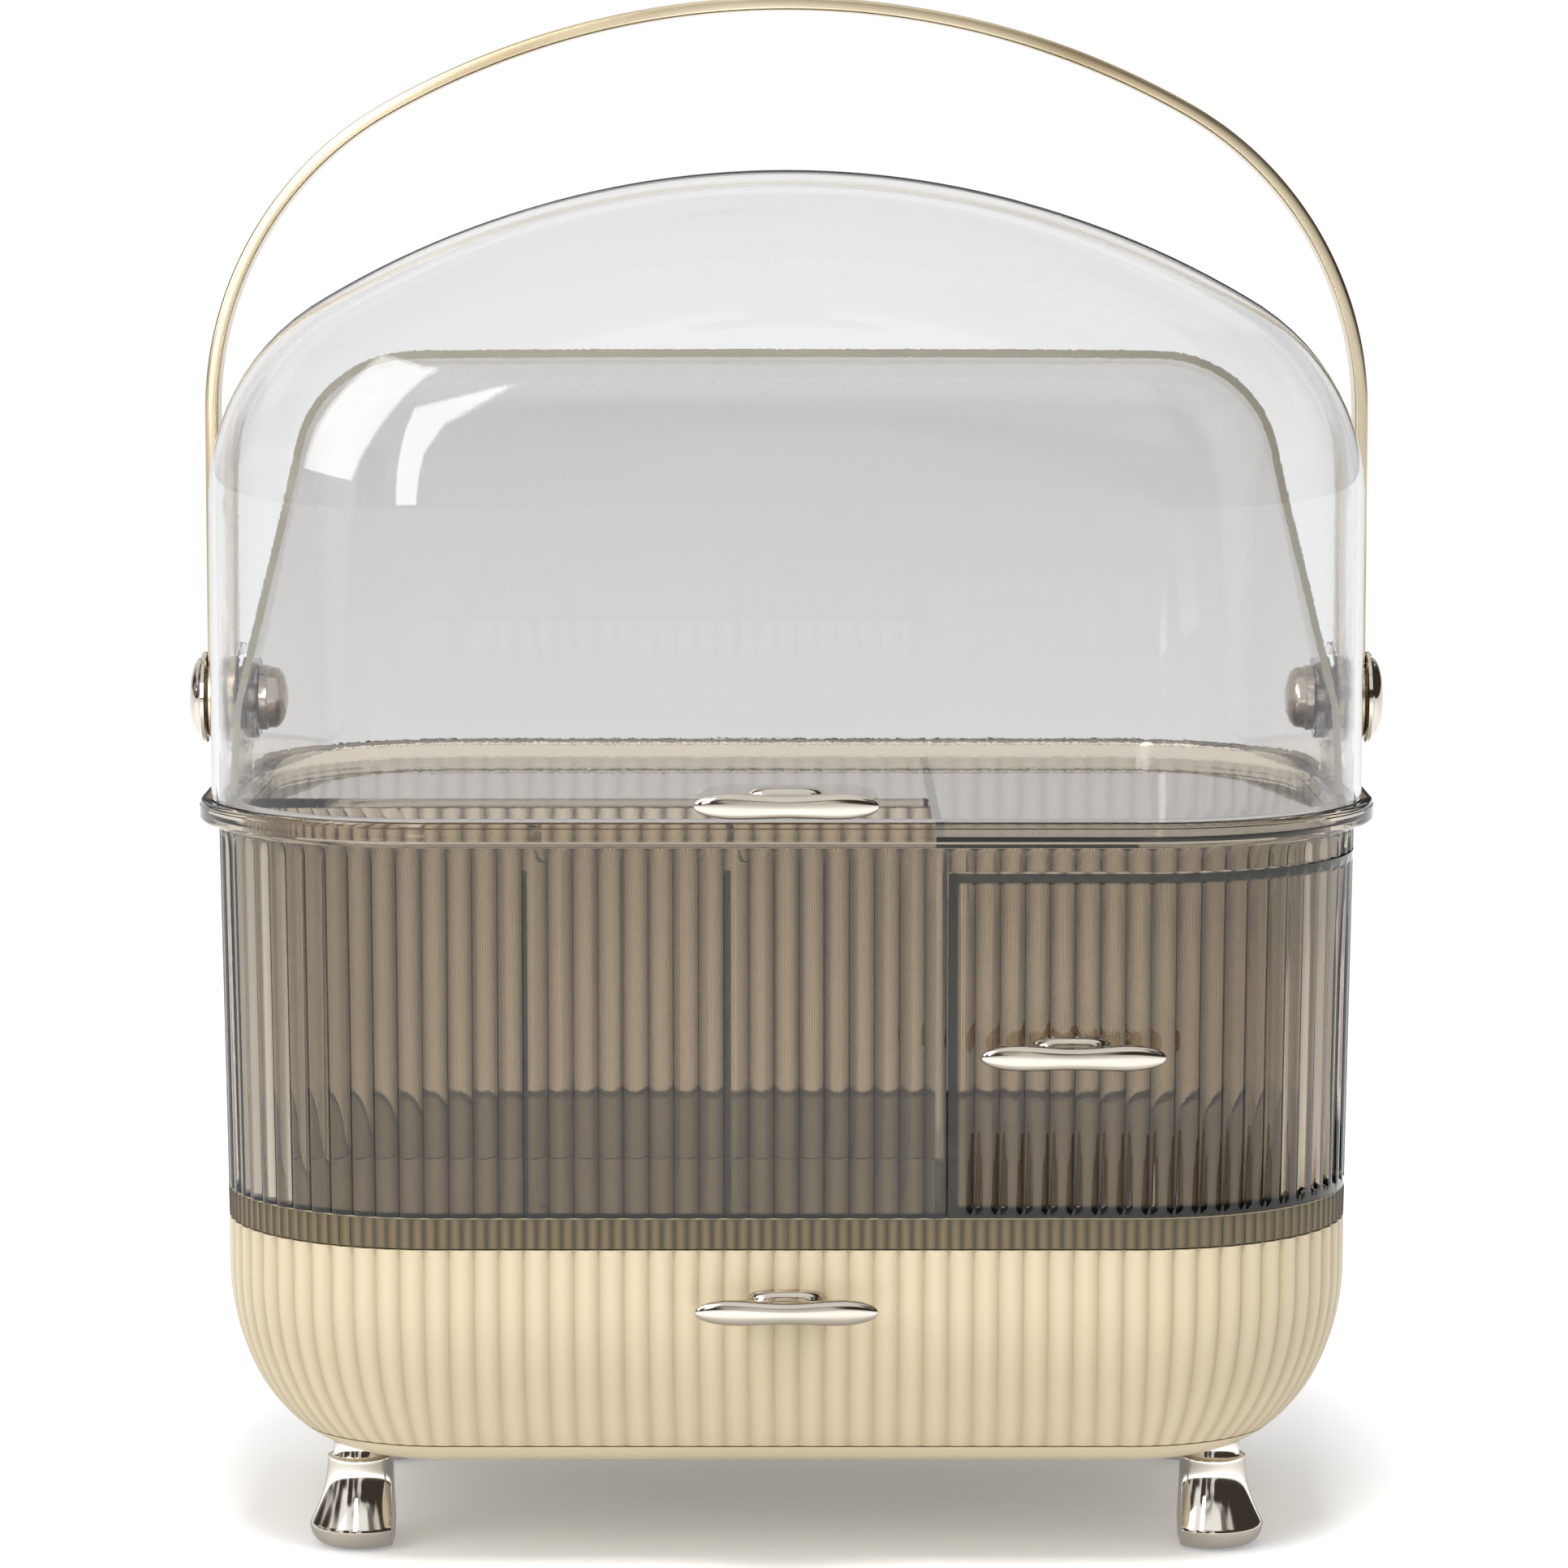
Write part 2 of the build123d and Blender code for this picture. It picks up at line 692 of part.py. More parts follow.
foot = build_foot(pan_outside())
foot_screws = []
foot_pads = []
for name, side_x, side_y in (
    ("foot_front_left", -1, -1),
    ("foot_front_right", 1, -1),
    ("foot_rear_left", -1, 1),
    ("foot_rear_right", 1, 1),
):
    x = side_x * foot_x
    y = side_y * foot_y
    floor = foot_height + pan_floor
    shank = rod(screw_radius, (x, y, floor + pan_floor), (x, y, floor - screw_grip))
    placed = foot if side_x < 0 else foot.mirror(Plane.YZ)
    placed = placed if side_y < 0 else placed.mirror(Plane.XZ)
    parts[name] = placed - shank
    foot_pads.append(rod(pad_radius, (x, y, 0), (x, y, pad_height)))
    foot_screws.append(shank)
    pan -= shank

parts["base_pan"] = pan
parts["base_casing"] = casing
parts["belt"] = belt
parts["case_wall"] = case_wall
parts["bay_wall"] = bay_wall
parts["well_back"] = well_back
parts["divider_left"], parts["divider_right"] = dividers
parts["rim"] = rim
parts["deck"] = deck
parts["hood"] = build_hood()
parts["foot_pads"] = Part() + foot_pads
parts["foot_screws"] = Part() + foot_screws

all_washers = []
for name, side in (("left", -1), ("right", 1)):
    cap, nut, washers = build_pivot(side)
    parts["pivot_cap_" + name] = cap
    parts["pivot_nut_" + name] = nut
    all_washers += washers
parts["pivot_washers"] = Part() + all_washers

visor_front_y = visor_front_core - visor_corner_radius
for name, front, front_y, x, z in (
    ("base_drawer", base_front, -half_depth + inset_at(base_pull_z), 0, base_pull_z),
    ("corner_drawer", corner_front, -half_depth + inset_at(corner_pull_z), corner_pull_x, corner_pull_z),
    ("visor", visor, visor_front_y, 0, rim_top + visor_pull_rise),
):
    thickness = visor_wall if front is visor else wall
    screw = pull_screw(front_y + thickness, x, z, screw_grip + thickness)
    shank = rod(screw_radius, (x, front_y + thickness, z), (x, front_y - screw_grip, z))
    parts[name + "_pull"] = pull(front_y, x, z) - front - screw
    parts[name + "_pull_screw"] = screw - front + shank
    if front is visor:
        visor = visor - shank
    elif front is base_front:
        base_front = base_front - shank
    else:
        corner_front = corner_front - shank

parts["base_drawer_front"] = base_front
parts["base_drawer_tray"] = base_tray
parts["corner_drawer_front"] = corner_front
parts["corner_drawer_box"] = build_corner_box()
parts["visor_shell"] = visor
parts["handle_band"] = build_handle()

os.makedirs("parts", exist_ok=True)
for node, shape in parts.items():
    export_step(shape.moved(Location((0, origin_shift, 0))), "parts/" + node + ".step")
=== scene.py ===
"""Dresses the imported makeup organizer: fluted smoked case, cream ribbed base, clear hood and visor,
champagne handle and pulls, chrome feet and pivots.

Sizes below are in millimetres, as a maker would give them. Meshes are turned to metres as they are made.
"""

import json

import bmesh
import bpy
import numpy as np
from mathutils import Matrix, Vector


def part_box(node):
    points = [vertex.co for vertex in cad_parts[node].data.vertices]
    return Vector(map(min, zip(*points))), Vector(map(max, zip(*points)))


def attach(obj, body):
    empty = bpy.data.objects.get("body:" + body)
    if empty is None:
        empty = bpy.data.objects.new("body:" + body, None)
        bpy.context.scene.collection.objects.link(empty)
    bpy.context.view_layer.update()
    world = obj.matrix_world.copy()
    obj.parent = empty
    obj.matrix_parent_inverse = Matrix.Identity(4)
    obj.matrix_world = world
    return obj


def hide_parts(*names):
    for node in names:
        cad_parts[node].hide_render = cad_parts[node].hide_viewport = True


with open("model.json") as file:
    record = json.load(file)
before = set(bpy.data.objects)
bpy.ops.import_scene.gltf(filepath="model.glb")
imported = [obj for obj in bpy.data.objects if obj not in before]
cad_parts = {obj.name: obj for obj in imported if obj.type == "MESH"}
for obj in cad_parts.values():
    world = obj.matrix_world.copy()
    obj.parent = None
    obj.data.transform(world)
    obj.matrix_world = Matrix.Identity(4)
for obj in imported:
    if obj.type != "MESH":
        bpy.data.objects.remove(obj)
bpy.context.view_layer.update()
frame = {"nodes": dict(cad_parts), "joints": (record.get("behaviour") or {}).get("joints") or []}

scene = bpy.context.scene

MM = 0.001
crease = 38.0


def cad(node):
    """Lowest and highest corners of a CAD node, in millimetres."""
    low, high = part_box(node)
    return np.array(low) / MM, np.array(high) / MM


case_low, case_high = cad("case_wall")
rim_low, rim_high = cad("rim")
belt_low, belt_high = cad("belt")
casing_low, casing_high = cad("base_casing")
pan_low = cad("base_pan")[0]
visor_low, visor_high = cad("visor_shell")
hood_high = cad("hood")[1]
strap_low, strap_high = cad("handle_band")
corner_low, corner_high = cad("corner_drawer_front")
front_low, front_high = cad("base_drawer_front")
pivot_z = frame["joints"][0]["pos_m"][2] / MM

# Outline of the body, seen from above
half_width = (case_high[0] - case_low[0]) / 2
half_depth = (case_high[1] - case_low[1]) / 2
middle_y = (case_high[1] + case_low[1]) / 2
corner_radius = 60.0
core_x = half_width - corner_radius
core_y = half_depth - corner_radius
draft = 1.7
wall = 2.6

# Ribs
front_ribs = 28
corner_ribs = 14
side_ribs = 12
rib_total = 2 * front_ribs + 4 * corner_ribs + 2 * side_ribs
rib_depth = 1.1
rib_pitch = 2 * core_x / front_ribs
rib_steps = 8
belt_rib_depth = 0.6

# Where pieces end along the body's sides, measured from its middle to the back
casing_edge = -36.0
base_drawer_edge = -36.4
window_edge = -37.6
corner_drawer_edge = -38.0
seam = 0.4
bay_left = 41.0

# Rounded bottom of the base
bowl_reach = 38.0
bowl_height = 50.0
bowl_centre = pan_low[2] + bowl_height
faded_rib_depth = 0.3

# Hood
hood_wall = 2.2
hood_half_width = 148.0
hood_radius = hood_high[2] - pivot_z
hood_slope = 0.22
hood_corner_radius = 33.0
hood_front_low = -40.0
hood_front_high = 20.0
hood_least = 0.2

# Visor
visor_wall = 2.0
visor_half_width = (visor_high[0] - visor_low[0]) / 2
visor_crown_radius = 237.5
visor_corner_radius = 60.0
visor_back_radius = 50.0
visor_back_y = -16.7
visor_back_lean = np.radians(22.0)
visor_front_core = visor_low[1] - middle_y + visor_corner_radius
visor_core = visor_half_width - visor_corner_radius
visor_crown_centre = visor_high[2] - visor_crown_radius
visor_blend_radius = visor_crown_radius - visor_corner_radius
visor_shoulder_z = visor_crown_centre + np.sqrt(visor_blend_radius ** 2 - visor_core ** 2)
visor_lobe_radius = 15.0
hood_clearance = 1.2
boss_radius = 11.0
boss_face = 148.4

# Handle
strap_half = (strap_high[0] - strap_low[0]) / 2
strap_thickness = 3.5
strap_width = 12.0
strap_spring = 77.0
strap_side_radius = 95.0
strap_rise = strap_high[2] - pivot_z
eye_radius = 11.0


# Mesh helpers


def new_piece(name, points, faces, smooth_below=crease, uv=None, border=None, slots=None):
    """An object from millimetre points: doubles merged, faces turned outwards, smooth except at sharp edges.

    uv gives each point its place along the ribs and its height, border how much it belongs to a flat
    frame, and slots the material slot of each block of faces.
    """
    mesh = bpy.data.meshes.new(name)
    listed = [corners for block in faces for corners in block.tolist()]
    mesh.from_pydata(np.asarray(points).reshape(-1, 3) * MM, [], listed)
    if slots is not None:
        numbers = [np.full(len(block), slot) for block, slot in zip(faces, slots)]
        mesh.polygons.foreach_set("material_index", np.concatenate(numbers))
    if uv is not None:
        layer = mesh.uv_layers.new(name="ribs")
        layer.data.foreach_set("uv", np.concatenate([unwrapped(uv, block) for block in faces]).ravel())
    if border is not None:
        mesh.attributes.new("border", "FLOAT", "POINT").data.foreach_set("value", border.ravel())
    return finish_mesh(name, mesh, smooth_below)


def unwrapped(uv, block):
    """The rib places of each face's corners, without a jump where the outline closes on itself."""
    value = uv.reshape(-1, 2)[block]
    wide = np.ptp(value[..., 0], axis=1) > rib_total / 2
    value[..., 0] += rib_total * (wide[:, None] & (value[..., 0] < rib_total / 2))
    return value.reshape(-1, 2)


def finish_mesh(name, mesh, smooth_below=crease):
    """An object from a mesh, cleaned first."""
    work = bmesh.new()
    work.from_mesh(mesh)
    bmesh.ops.remove_doubles(work, verts=work.verts, dist=2e-6)
    bmesh.ops.dissolve_degenerate(work, edges=work.edges, dist=1e-6)
    bmesh.ops.recalc_face_normals(work, faces=work.faces)
    work.to_mesh(mesh)
    work.free()
    return wrapped(name, mesh, smooth_below)


def wrapped(name, mesh, smooth_below=crease):
    """An object round a mesh, smooth except at its sharp edges."""
    mesh.polygons.foreach_set("use_smooth", np.ones(len(mesh.polygons), bool))
    mesh.set_sharp_from_angle(angle=np.radians(smooth_below))
    return linked(name, mesh)


def linked(name, data):
    """An object in the scene, from its mesh, camera or lamp data."""
    made = bpy.data.objects.new(name, data)
    scene.collection.objects.link(made)
    return made


def points_at(x, y, z):
    """Points from their three coordinates, spread over one another."""
    return np.stack(np.broadcast_arrays(x, y, z), axis=-1)


def grid_faces(rows, columns, wrap_rows=False, wrap_columns=False):
    """Four-cornered faces over a grid of points, closed on itself where asked."""
    row = np.arange(rows if wrap_rows else rows - 1)[:, None]
    column = np.arange(columns if wrap_columns else columns - 1)[None, :]
    row_next = (row + 1) % rows
    column_next = (column + 1) % columns
    faces = np.stack([
        row * columns + column,
        row * columns + column_next,
        row_next * columns + column_next,
        row_next * columns + column,
    ], axis=-1)
    return faces.reshape(-1, 4)


def lofted(name, loops, smooth_below=crease):
    """A closed form through a stack of closed outlines, with a flat face over the first and the last."""
    count, around = loops.shape[:2]
    sides = grid_faces(count, around, wrap_columns=True)
    first = np.arange(around)[None, ::-1]
    last = np.arange(around)[None, :] + (count - 1) * around
    return new_piece(name, loops, [sides, first, last], smooth_below)


def turned(name, profile, place, smooth_below=crease, steps=64, flat_at=None):
    """A form turned on a lathe: each (radius, height) of the profile goes round the axis and closes on it.

    place carries the (across, along, height) coordinates to the model; flat_at cuts one side flat.
    """
    angle = np.linspace(0, 2 * np.pi, steps, endpoint=False)
    radius, height = np.array(profile).T
    across = radius[:, None] * np.cos(angle)
    along = radius[:, None] * np.sin(angle)
    if flat_at is not None:
        across = np.minimum(across, flat_at)
    points = place(across, along, np.broadcast_to(height[:, None], across.shape))
    return new_piece(name, points, [grid_faces(len(profile), steps, wrap_columns=True)], smooth_below)


def walled(name, outer, inner, keep=None, loop=False, smooth_below=crease, uv=None, border=None, slots=None):
    """A wall between an outer and an inner grid of points, with a rim strip wherever a kept cell has no
    kept neighbour. keep marks the cells that exist, so a window is a block of cells left out. slots are
    the material slots of skin, lining, level strips and upright strips."""
    rows, columns = outer.shape[:2]
    across = columns if loop else columns - 1
    if keep is None:
        keep = np.ones((rows - 1, across), bool)
    cells = grid_faces(rows, columns, wrap_columns=loop).reshape(rows - 1, across, 4)
    shift = rows * columns
    skin = cells[keep]
    lining = skin[:, ::-1] + shift
    below_edge = np.diff(np.pad(keep, ((1, 1), (0, 0))), axis=0)
    beside_edge = np.diff(np.pad(keep, ((0, 0), (1, 1)), mode="wrap" if loop else "constant"))[:, :columns]
    number = np.arange(rows * columns).reshape(rows, columns)
    following = np.roll(number, -1, axis=1)

    def strip(start, end):
        """Faces that join edges of the outer grid to the same edges of the inner one."""
        return np.stack([start, end, end + shift, start + shift], axis=-1)

    level = strip(number[:, :across][below_edge], following[:, :across][below_edge])
    upright = strip(number[:-1][beside_edge], number[1:][beside_edge])
    points = np.concatenate([outer.reshape(-1, 3), inner.reshape(-1, 3)])
    both = None if uv is None else np.concatenate([uv.reshape(-1, 2)] * 2)
    frame_band = None if border is None else np.concatenate([border.ravel()] * 2)
    return new_piece(name, points, [skin, lining, level, upright], smooth_below, both, frame_band, slots)


def cut(target, tool):
    """The target with the tool's form cut out of it; both are used up."""
    change = target.modifiers.new("cut", "BOOLEAN")
    change.operation = "DIFFERENCE"
    change.solver = "EXACT"
    change.object = tool
    bpy.context.view_layer.update()
    evaluated = target.evaluated_get(bpy.context.evaluated_depsgraph_get())
    mesh = bpy.data.meshes.new_from_object(evaluated)
    name = target.name
    for used in (target, tool):
        bpy.data.objects.remove(used)
    return finish_mesh(name, mesh)


def joined(name, pieces):
    """Several pieces as one object."""
    merged = bpy.data.meshes.new(name)
    work = bmesh.new()
    for piece in pieces:
        work.from_mesh(piece.data)
        bpy.data.objects.remove(piece)
    work.to_mesh(merged)
    work.free()
    return wrapped(name, merged)


# The outline with its ribs

outline_marks = np.cumsum([0, front_ribs / 2, corner_ribs, side_ribs, corner_ribs, front_ribs, corner_ribs,
                           side_ribs, corner_ribs, front_ribs / 2])
outline_x = core_x * np.array([0, 1, 1, 1, 1, -1, -1, -1, -1, 0])
outline_y = core_y * np.array([-1, -1, -1, 1, 1, 1, 1, -1, -1, -1])
outline_turn = np.radians([-90, -90, 0, 0, 90, 90, 180, 180, 270, 270])
right_side_start = front_ribs / 2 + corner_ribs
side_pitch = 2 * core_y / side_ribs


def stations(start, end):
    """Places along the outline, counted in ribs: both ends and the even steps between them."""
    inner = np.arange(np.floor(start * rib_steps) + 1, np.ceil(end * rib_steps)) / rib_steps
    return np.concatenate([[start], inner, [end]])


def all_round(steps=rib_steps):
    """Places all the way round the outline."""
    return np.arange(rib_total * steps) / steps


def wave(station):
    """0 on a rib's crest to -1 in its valley, along the arc of a circle."""
    reach = rib_pitch / 2
    radius = (reach ** 2 + rib_depth ** 2) / (2 * rib_depth)
    across = (station - np.round(station)) * rib_pitch
    return (np.sqrt(radius ** 2 - across ** 2) - radius) / rib_depth


def fine_wave(station):
    """The belt's fine ribs: two rounded ridges to each rib of the case."""
    roundness = 0.8
    return -np.abs(np.sin(2 * np.pi * station)) ** roundness


def outline_grid(station, inset, z, depth=0.0, ribs=wave, spread=1.0):
    """Points at each station and level: the straight core, pushed outwards by the corner radius less an
    inset, with the ribs cut in. spread 0 brings a level to the middle."""
    station = np.asarray(station)[None, :]
    levels = (inset, z, depth, spread)
    inset, z, depth, spread = (np.array(values, float, ndmin=1)[:, None] for values in levels)
    straight_x, straight_y, turn = (np.interp(station % rib_total, outline_marks, values)
                                    for values in (outline_x, outline_y, outline_turn))
    reach = corner_radius - inset + depth * ribs(station)
    x = spread * (straight_x + reach * np.cos(turn))
    y = spread * (straight_y + reach * np.sin(turn))
    return points_at(x, y + middle_y, z)


def rib_places(station, z):
    """Each point's place along the ribs and its height, for the materials."""
    places = np.broadcast_arrays(np.asarray(station, float)[None, :], np.atleast_1d(z)[:, None])
    return np.stack(places, axis=-1)


def inset_at(z):
    """How far the drafted outline has moved in at a height."""
    return draft * (case_high[2] - z) / (case_high[2] - casing_high[2])


def right_station(y):
    """The place on the right side at a distance behind the body's middle."""
    return right_side_start + (y + core_y) / side_pitch


def bowl_levels(lowest):
    """Insets and heights down the rounded side of the base: straight, then a quarter ellipse."""
    last = np.arcsin((bowl_centre - lowest) / bowl_height)
    angle = np.linspace(0, last, 18)
    inset = draft + bowl_reach * (1 - np.cos(angle))
    z = bowl_centre - bowl_height * np.sin(angle)
    top = (bowl_centre + casing_high[2]) / 2
    return np.concatenate([[draft, draft], inset]), np.concatenate([[casing_high[2], top], z])


# Pieces of the base


def ribbed_wall(name, station, z_high, z_low):
    """The cream ribbed wall over some stations: outer ribs fading downwards, plain inside."""
    inset, z = bowl_levels(z_low)
    z[0] = z_high
    share = (casing_high[2] - z) / (casing_high[2] - casing_low[2])
    depth = rib_depth + (faded_rib_depth - rib_depth) * share ** 2
    outer = outline_grid(station, inset, z, depth)
    thinning = 0.3
    inner = outline_grid(station, inset + wall * (1 - thinning * share), z)
    return walled(name, outer, inner, uv=rib_places(station, z))


def belt_band():
    """The belt: a skirt with fine ribs outside and the case's floor across its top."""
    station = all_round(16)
    bottom, top = belt_low[2], belt_high[2]
    plate = 2.4
    skirt = 3.0
    ledge = 1.4
    spread = [1, 1, 1, 0]
    outer = outline_grid(station, [inset_at(bottom), inset_at(top), inset_at(top) + ledge, 0],
                         [bottom, top, top, top], [belt_rib_depth, belt_rib_depth, 0, 0], fine_wave, spread)
    under = top - plate
    inside = inset_at(bottom) + skirt
    inner = outline_grid(station, [inside, inside, inside, 0], [bottom, under, under, under], spread=spread)
    places = rib_places(station * 2 + 0.5, [bottom, top, top, top])
    return walled("belt_band", outer, inner, loop=True, uv=places)


# Pieces of the case


def fluted_wall(name, station, z, plain, keep=None, loop=False, border=None):
    """The smoked wall: round flutes outside, which run out where plain rises to 1, and a flat inside."""
    z = np.asarray(z, float)
    flutes = outline_grid(station, inset_at(z), z, rib_depth)
    flat = outline_grid(station, inset_at(z), z)
    outer = flutes + (flat - flutes) * plain[..., None]
    inner = outline_grid(station, inset_at(z) + wall, z)
    return walled(name, outer, inner, keep, loop, uv=rib_places(station, z), border=border)


def case_piece():
    """The case's wall with the corner drawer's opening left out of it."""
    window_start = bay_left / rib_pitch
    window_end = right_station(window_edge)
    station = np.unique(np.concatenate([all_round(), [window_start, window_end]]))
    window_top = corner_high[2] + seam
    flute_end = 4.0
    round_end = flute_end * (1 - np.sin(np.linspace(0, np.pi / 2, 7)))
    z = np.concatenate([np.linspace(case_low[2], window_top, 4), case_high[2] - round_end])
    run_out = 1 - np.sqrt(1 - np.clip((z - case_high[2]) / flute_end + 1, 0, 1) ** 2)
    plain = np.repeat(run_out[:, None], len(station), axis=1)
    middle = (station + np.append(station[1:], rib_total)) / 2
    open_column = (middle > window_start) & (middle < window_end)
    keep = np.ones((len(z) - 1, len(station)), bool)
    keep[:3, open_column] = False
    return fluted_wall("fluted_case", station, z, plain, keep, loop=True)


def corner_piece():
    """The corner drawer's fluted front: the flutes end at a flat frame along its edges."""
    frame_width = 2.2
    ramp = 0.7
    start, end = (bay_left + seam) / rib_pitch, right_station(corner_drawer_edge)
    low, high = corner_low[2], corner_high[2]
    lines = np.array([frame_width, frame_width + ramp])
    places = [stations(start, end), start + lines / rib_pitch, end - lines / side_pitch]
    station = np.unique(np.concatenate(places))
    z = np.concatenate([[low], low + lines, np.linspace(low, high, 4)[1:-1], high - lines[::-1], [high]])
    beside = np.minimum((station - start) * rib_pitch, (end - station) * side_pitch)[None, :]
    above = np.minimum(z - low, high - z)[:, None]
    border = np.clip((frame_width + ramp - np.minimum(beside, above)) / ramp, 0, 1)
    return fluted_wall("fluted_drawer_front", station, z, border, border=border)


def rim_piece():
    """The rim: a flange with a stepped underside and softened edges, carried round the outline."""
    top = rim_high[2]
    bottom = rim_low[2]
    over = (rim_high[0] - rim_low[0]) / 2 - half_width
    profile = np.array([
        (-6.0, bottom + 0.4), (-5.6, bottom), (0.9, bottom), (1.3, bottom + 0.2), (1.45, bottom + 0.7),
        (1.55, bottom + 1.1), (1.9, bottom + 1.3), (over - 1.0, bottom + 1.45), (over - 0.35, bottom + 1.65),
        (over, bottom + 2.2), (over, top - 1.6), (over - 0.25, top - 1.35), (over - 0.25, top - 0.8),
        (over - 0.45, top - 0.3), (over - 0.9, top), (-5.4, top), (-5.8, top - 0.2), (-6.0, top - 0.6),
    ])
    station = all_round(4)
    grid = outline_grid(station, -profile[:, 0], profile[:, 1])
    return new_piece("rim_ring", grid, [grid_faces(len(profile), len(station), True, True)], 25.0)


# Hood


def hood_profile(shrink):
    """Half-width and height over the pivot axis, from the foot of the sloping side round the corner to
    the middle of the flat top."""
    radius = hood_radius - shrink
    low = hood_half_width - shrink
    corner = hood_corner_radius - shrink
    lean = np.arctan(hood_slope)
    centre_h = radius - corner
    centre_x = low - hood_slope * centre_h - corner / np.cos(lean)
    angle = np.linspace(lean, np.pi / 2, 14)
    corner_x = centre_x + corner * np.cos(angle)
    corner_h = centre_h + corner * np.sin(angle)
    side_h = np.linspace(hood_least, corner_h[0], 8)[:-1]
    side_x = low - hood_slope * side_h
    flat_x = np.linspace(centre_x, 0, 8)[1:]
    flat_h = np.full(flat_x.shape, radius)
    return np.concatenate([side_x, corner_x, flat_x]), np.concatenate([side_h, corner_h, flat_h])


def hood_grid(shrink):
    """The hood's skin: every point of the profile goes straight back from the leaning front edge, round
    the pivot axis and down to the rim. Below the axis the rows shrink towards the front's foot."""
    floor = rim_high[2]
    across, height = hood_profile(shrink)
    across = np.concatenate([across, -across[-2::-1]])
    height = np.concatenate([height, height[-2::-1]])
    apron = np.linspace(0.999, 0.05, 6)
    down = apron * (pivot_z - floor)
    low = np.full(apron.shape, hood_half_width - shrink)
    across = np.concatenate([low, across, -low[::-1]])[:, None]
    rise = np.concatenate([-down, height, -down[::-1]])[:, None]
    back = np.concatenate([apron * hood_front_low, height * 0, apron[::-1] * hood_front_low])[:, None]
    radius = np.maximum(rise, hood_least)
    lean = (hood_front_high - hood_front_low) / (hood_high[2] - floor)
    front_y = hood_front_low + lean * (pivot_z + rise - floor)
    turn = np.linspace(0, 1, 20)[None, :]
    start = np.minimum(front_y, back)
    straight = np.linspace(0, 1, 8)[None, :-1]
    ahead_y = start + (back - start) * straight
    ahead_z = pivot_z + rise + 0 * straight
    turn_start = np.where(front_y > back, np.arcsin(np.clip(front_y / radius, 0, 1)), 0)
    angle = turn_start + (np.pi / 2 - turn_start) * turn
    round_y = back + radius * np.sin(angle)
    over_axis = pivot_z + rise * np.cos(angle)
    under_axis = pivot_z + rise + hood_least * (np.cos(angle) - 1)
    round_z = np.where(rise > 0, over_axis, under_axis)
    fall = np.linspace(0, 1, 6)[None, 1:]
    down_y = back + radius + 0 * fall
    down_z = round_z[:, -1:] + (floor - round_z[:, -1:]) * fall
    y = np.hstack([ahead_y, round_y, down_y]) + middle_y
    z = np.hstack([ahead_z, round_z, down_z])
    return points_at(across, y, z)


def hood_piece():
    """The hood's wall, with a boss at each pivot."""
    shell = walled("hood_shell", hood_grid(0), hood_grid(hood_wall), smooth_below=30.0, slots=[0, 0, 0, 1])
    inner = hood_half_width - 2 * hood_wall
    bosses = [disc("hood_boss", side, boss_radius, inner, boss_face, 0.6, 0.3) for side in (-1, 1)]
    return joined("hood_cover", [shell, *bosses])


def on_pivot(side):
    """Places a turned form on the pivot axis, its height along X to one side."""
    def place(across, along, height):
        return points_at(side * height, along + middle_y, across + pivot_z)
    return place


def disc(name, side, radius, inner, outer, inner_bevel, outer_bevel):
    """A round plate on the pivot axis between two distances from the middle, its edges bevelled."""
    profile = [(0, inner), (radius - inner_bevel, inner), (radius, inner + inner_bevel),
               (radius, outer - outer_bevel), (radius - outer_bevel, outer), (0, outer)]
    return turned(name, profile, on_pivot(side))


# Visor


def visor_crown(x, shrink):
    """Height of the visor's top at a distance from the middle: the crown's arc, then the shoulder's."""
    crown = visor_crown_radius - shrink
    shoulder = visor_corner_radius - shrink
    touch = visor_core * crown / visor_blend_radius
    on_crown = visor_crown_centre + np.sqrt(np.maximum(crown ** 2 - x ** 2, 0))
    on_shoulder = visor_shoulder_z + np.sqrt(np.maximum(shoulder ** 2 - (x - visor_core) ** 2, 0))
    return np.where(x <= touch, on_crown, on_shoulder)


def corner_reach(x, radius, shrink):
    """How far a rounded corner still reaches out at a distance from the middle."""
    past = np.maximum(x - (visor_half_width - radius), 0)
    return np.sqrt(np.maximum((radius - shrink) ** 2 - past ** 2, 0))


def visor_form(name, shrink):
    """The dome's closed form: upright sections across the width, each with a straight front and back and a
    quarter ellipse at either shoulder."""
    limit = visor_half_width - shrink
    flat = np.linspace(0, visor_core, 18, endpoint=False)
    bend = visor_core + (limit - visor_core) * np.sin(np.linspace(0, np.pi / 2, 20))
    half = np.concatenate([flat, bend])
    x = np.concatenate([-half[:0:-1], half])[:, None]
    distance = np.abs(x)
    front = visor_front_core - corner_reach(distance, visor_corner_radius, shrink)
    back = visor_back_y + corner_reach(distance, visor_back_radius, shrink)
    top = visor_crown(distance, shrink)
    overshoot = 2.0
    low = visor_low[2] - (overshoot if shrink else 0)
    angle = np.linspace(0, np.pi / 2, 20)[None, :]
    climb = np.linspace(low, visor_shoulder_z, 12)[None, :-1]
    level = np.linspace(0, 1, 5)[None, 1:-1]
    y = np.hstack([
        front + 0 * climb,
        visor_front_core + (front - visor_front_core) * np.cos(angle),
        visor_front_core + (visor_back_y - visor_front_core) * level + 0 * x,
        visor_back_y + (back - visor_back_y) * np.sin(angle),
        back + 0 * climb,
    ])
    rise = top - visor_shoulder_z
    z = np.hstack([
        climb + 0 * x,
        visor_shoulder_z + rise * np.sin(angle),
        top + 0 * level,
        visor_shoulder_z + rise * np.cos(angle),
        climb[:, ::-1] + 0 * x,
    ])
    return lofted(name, points_at(x, y + middle_y, z))


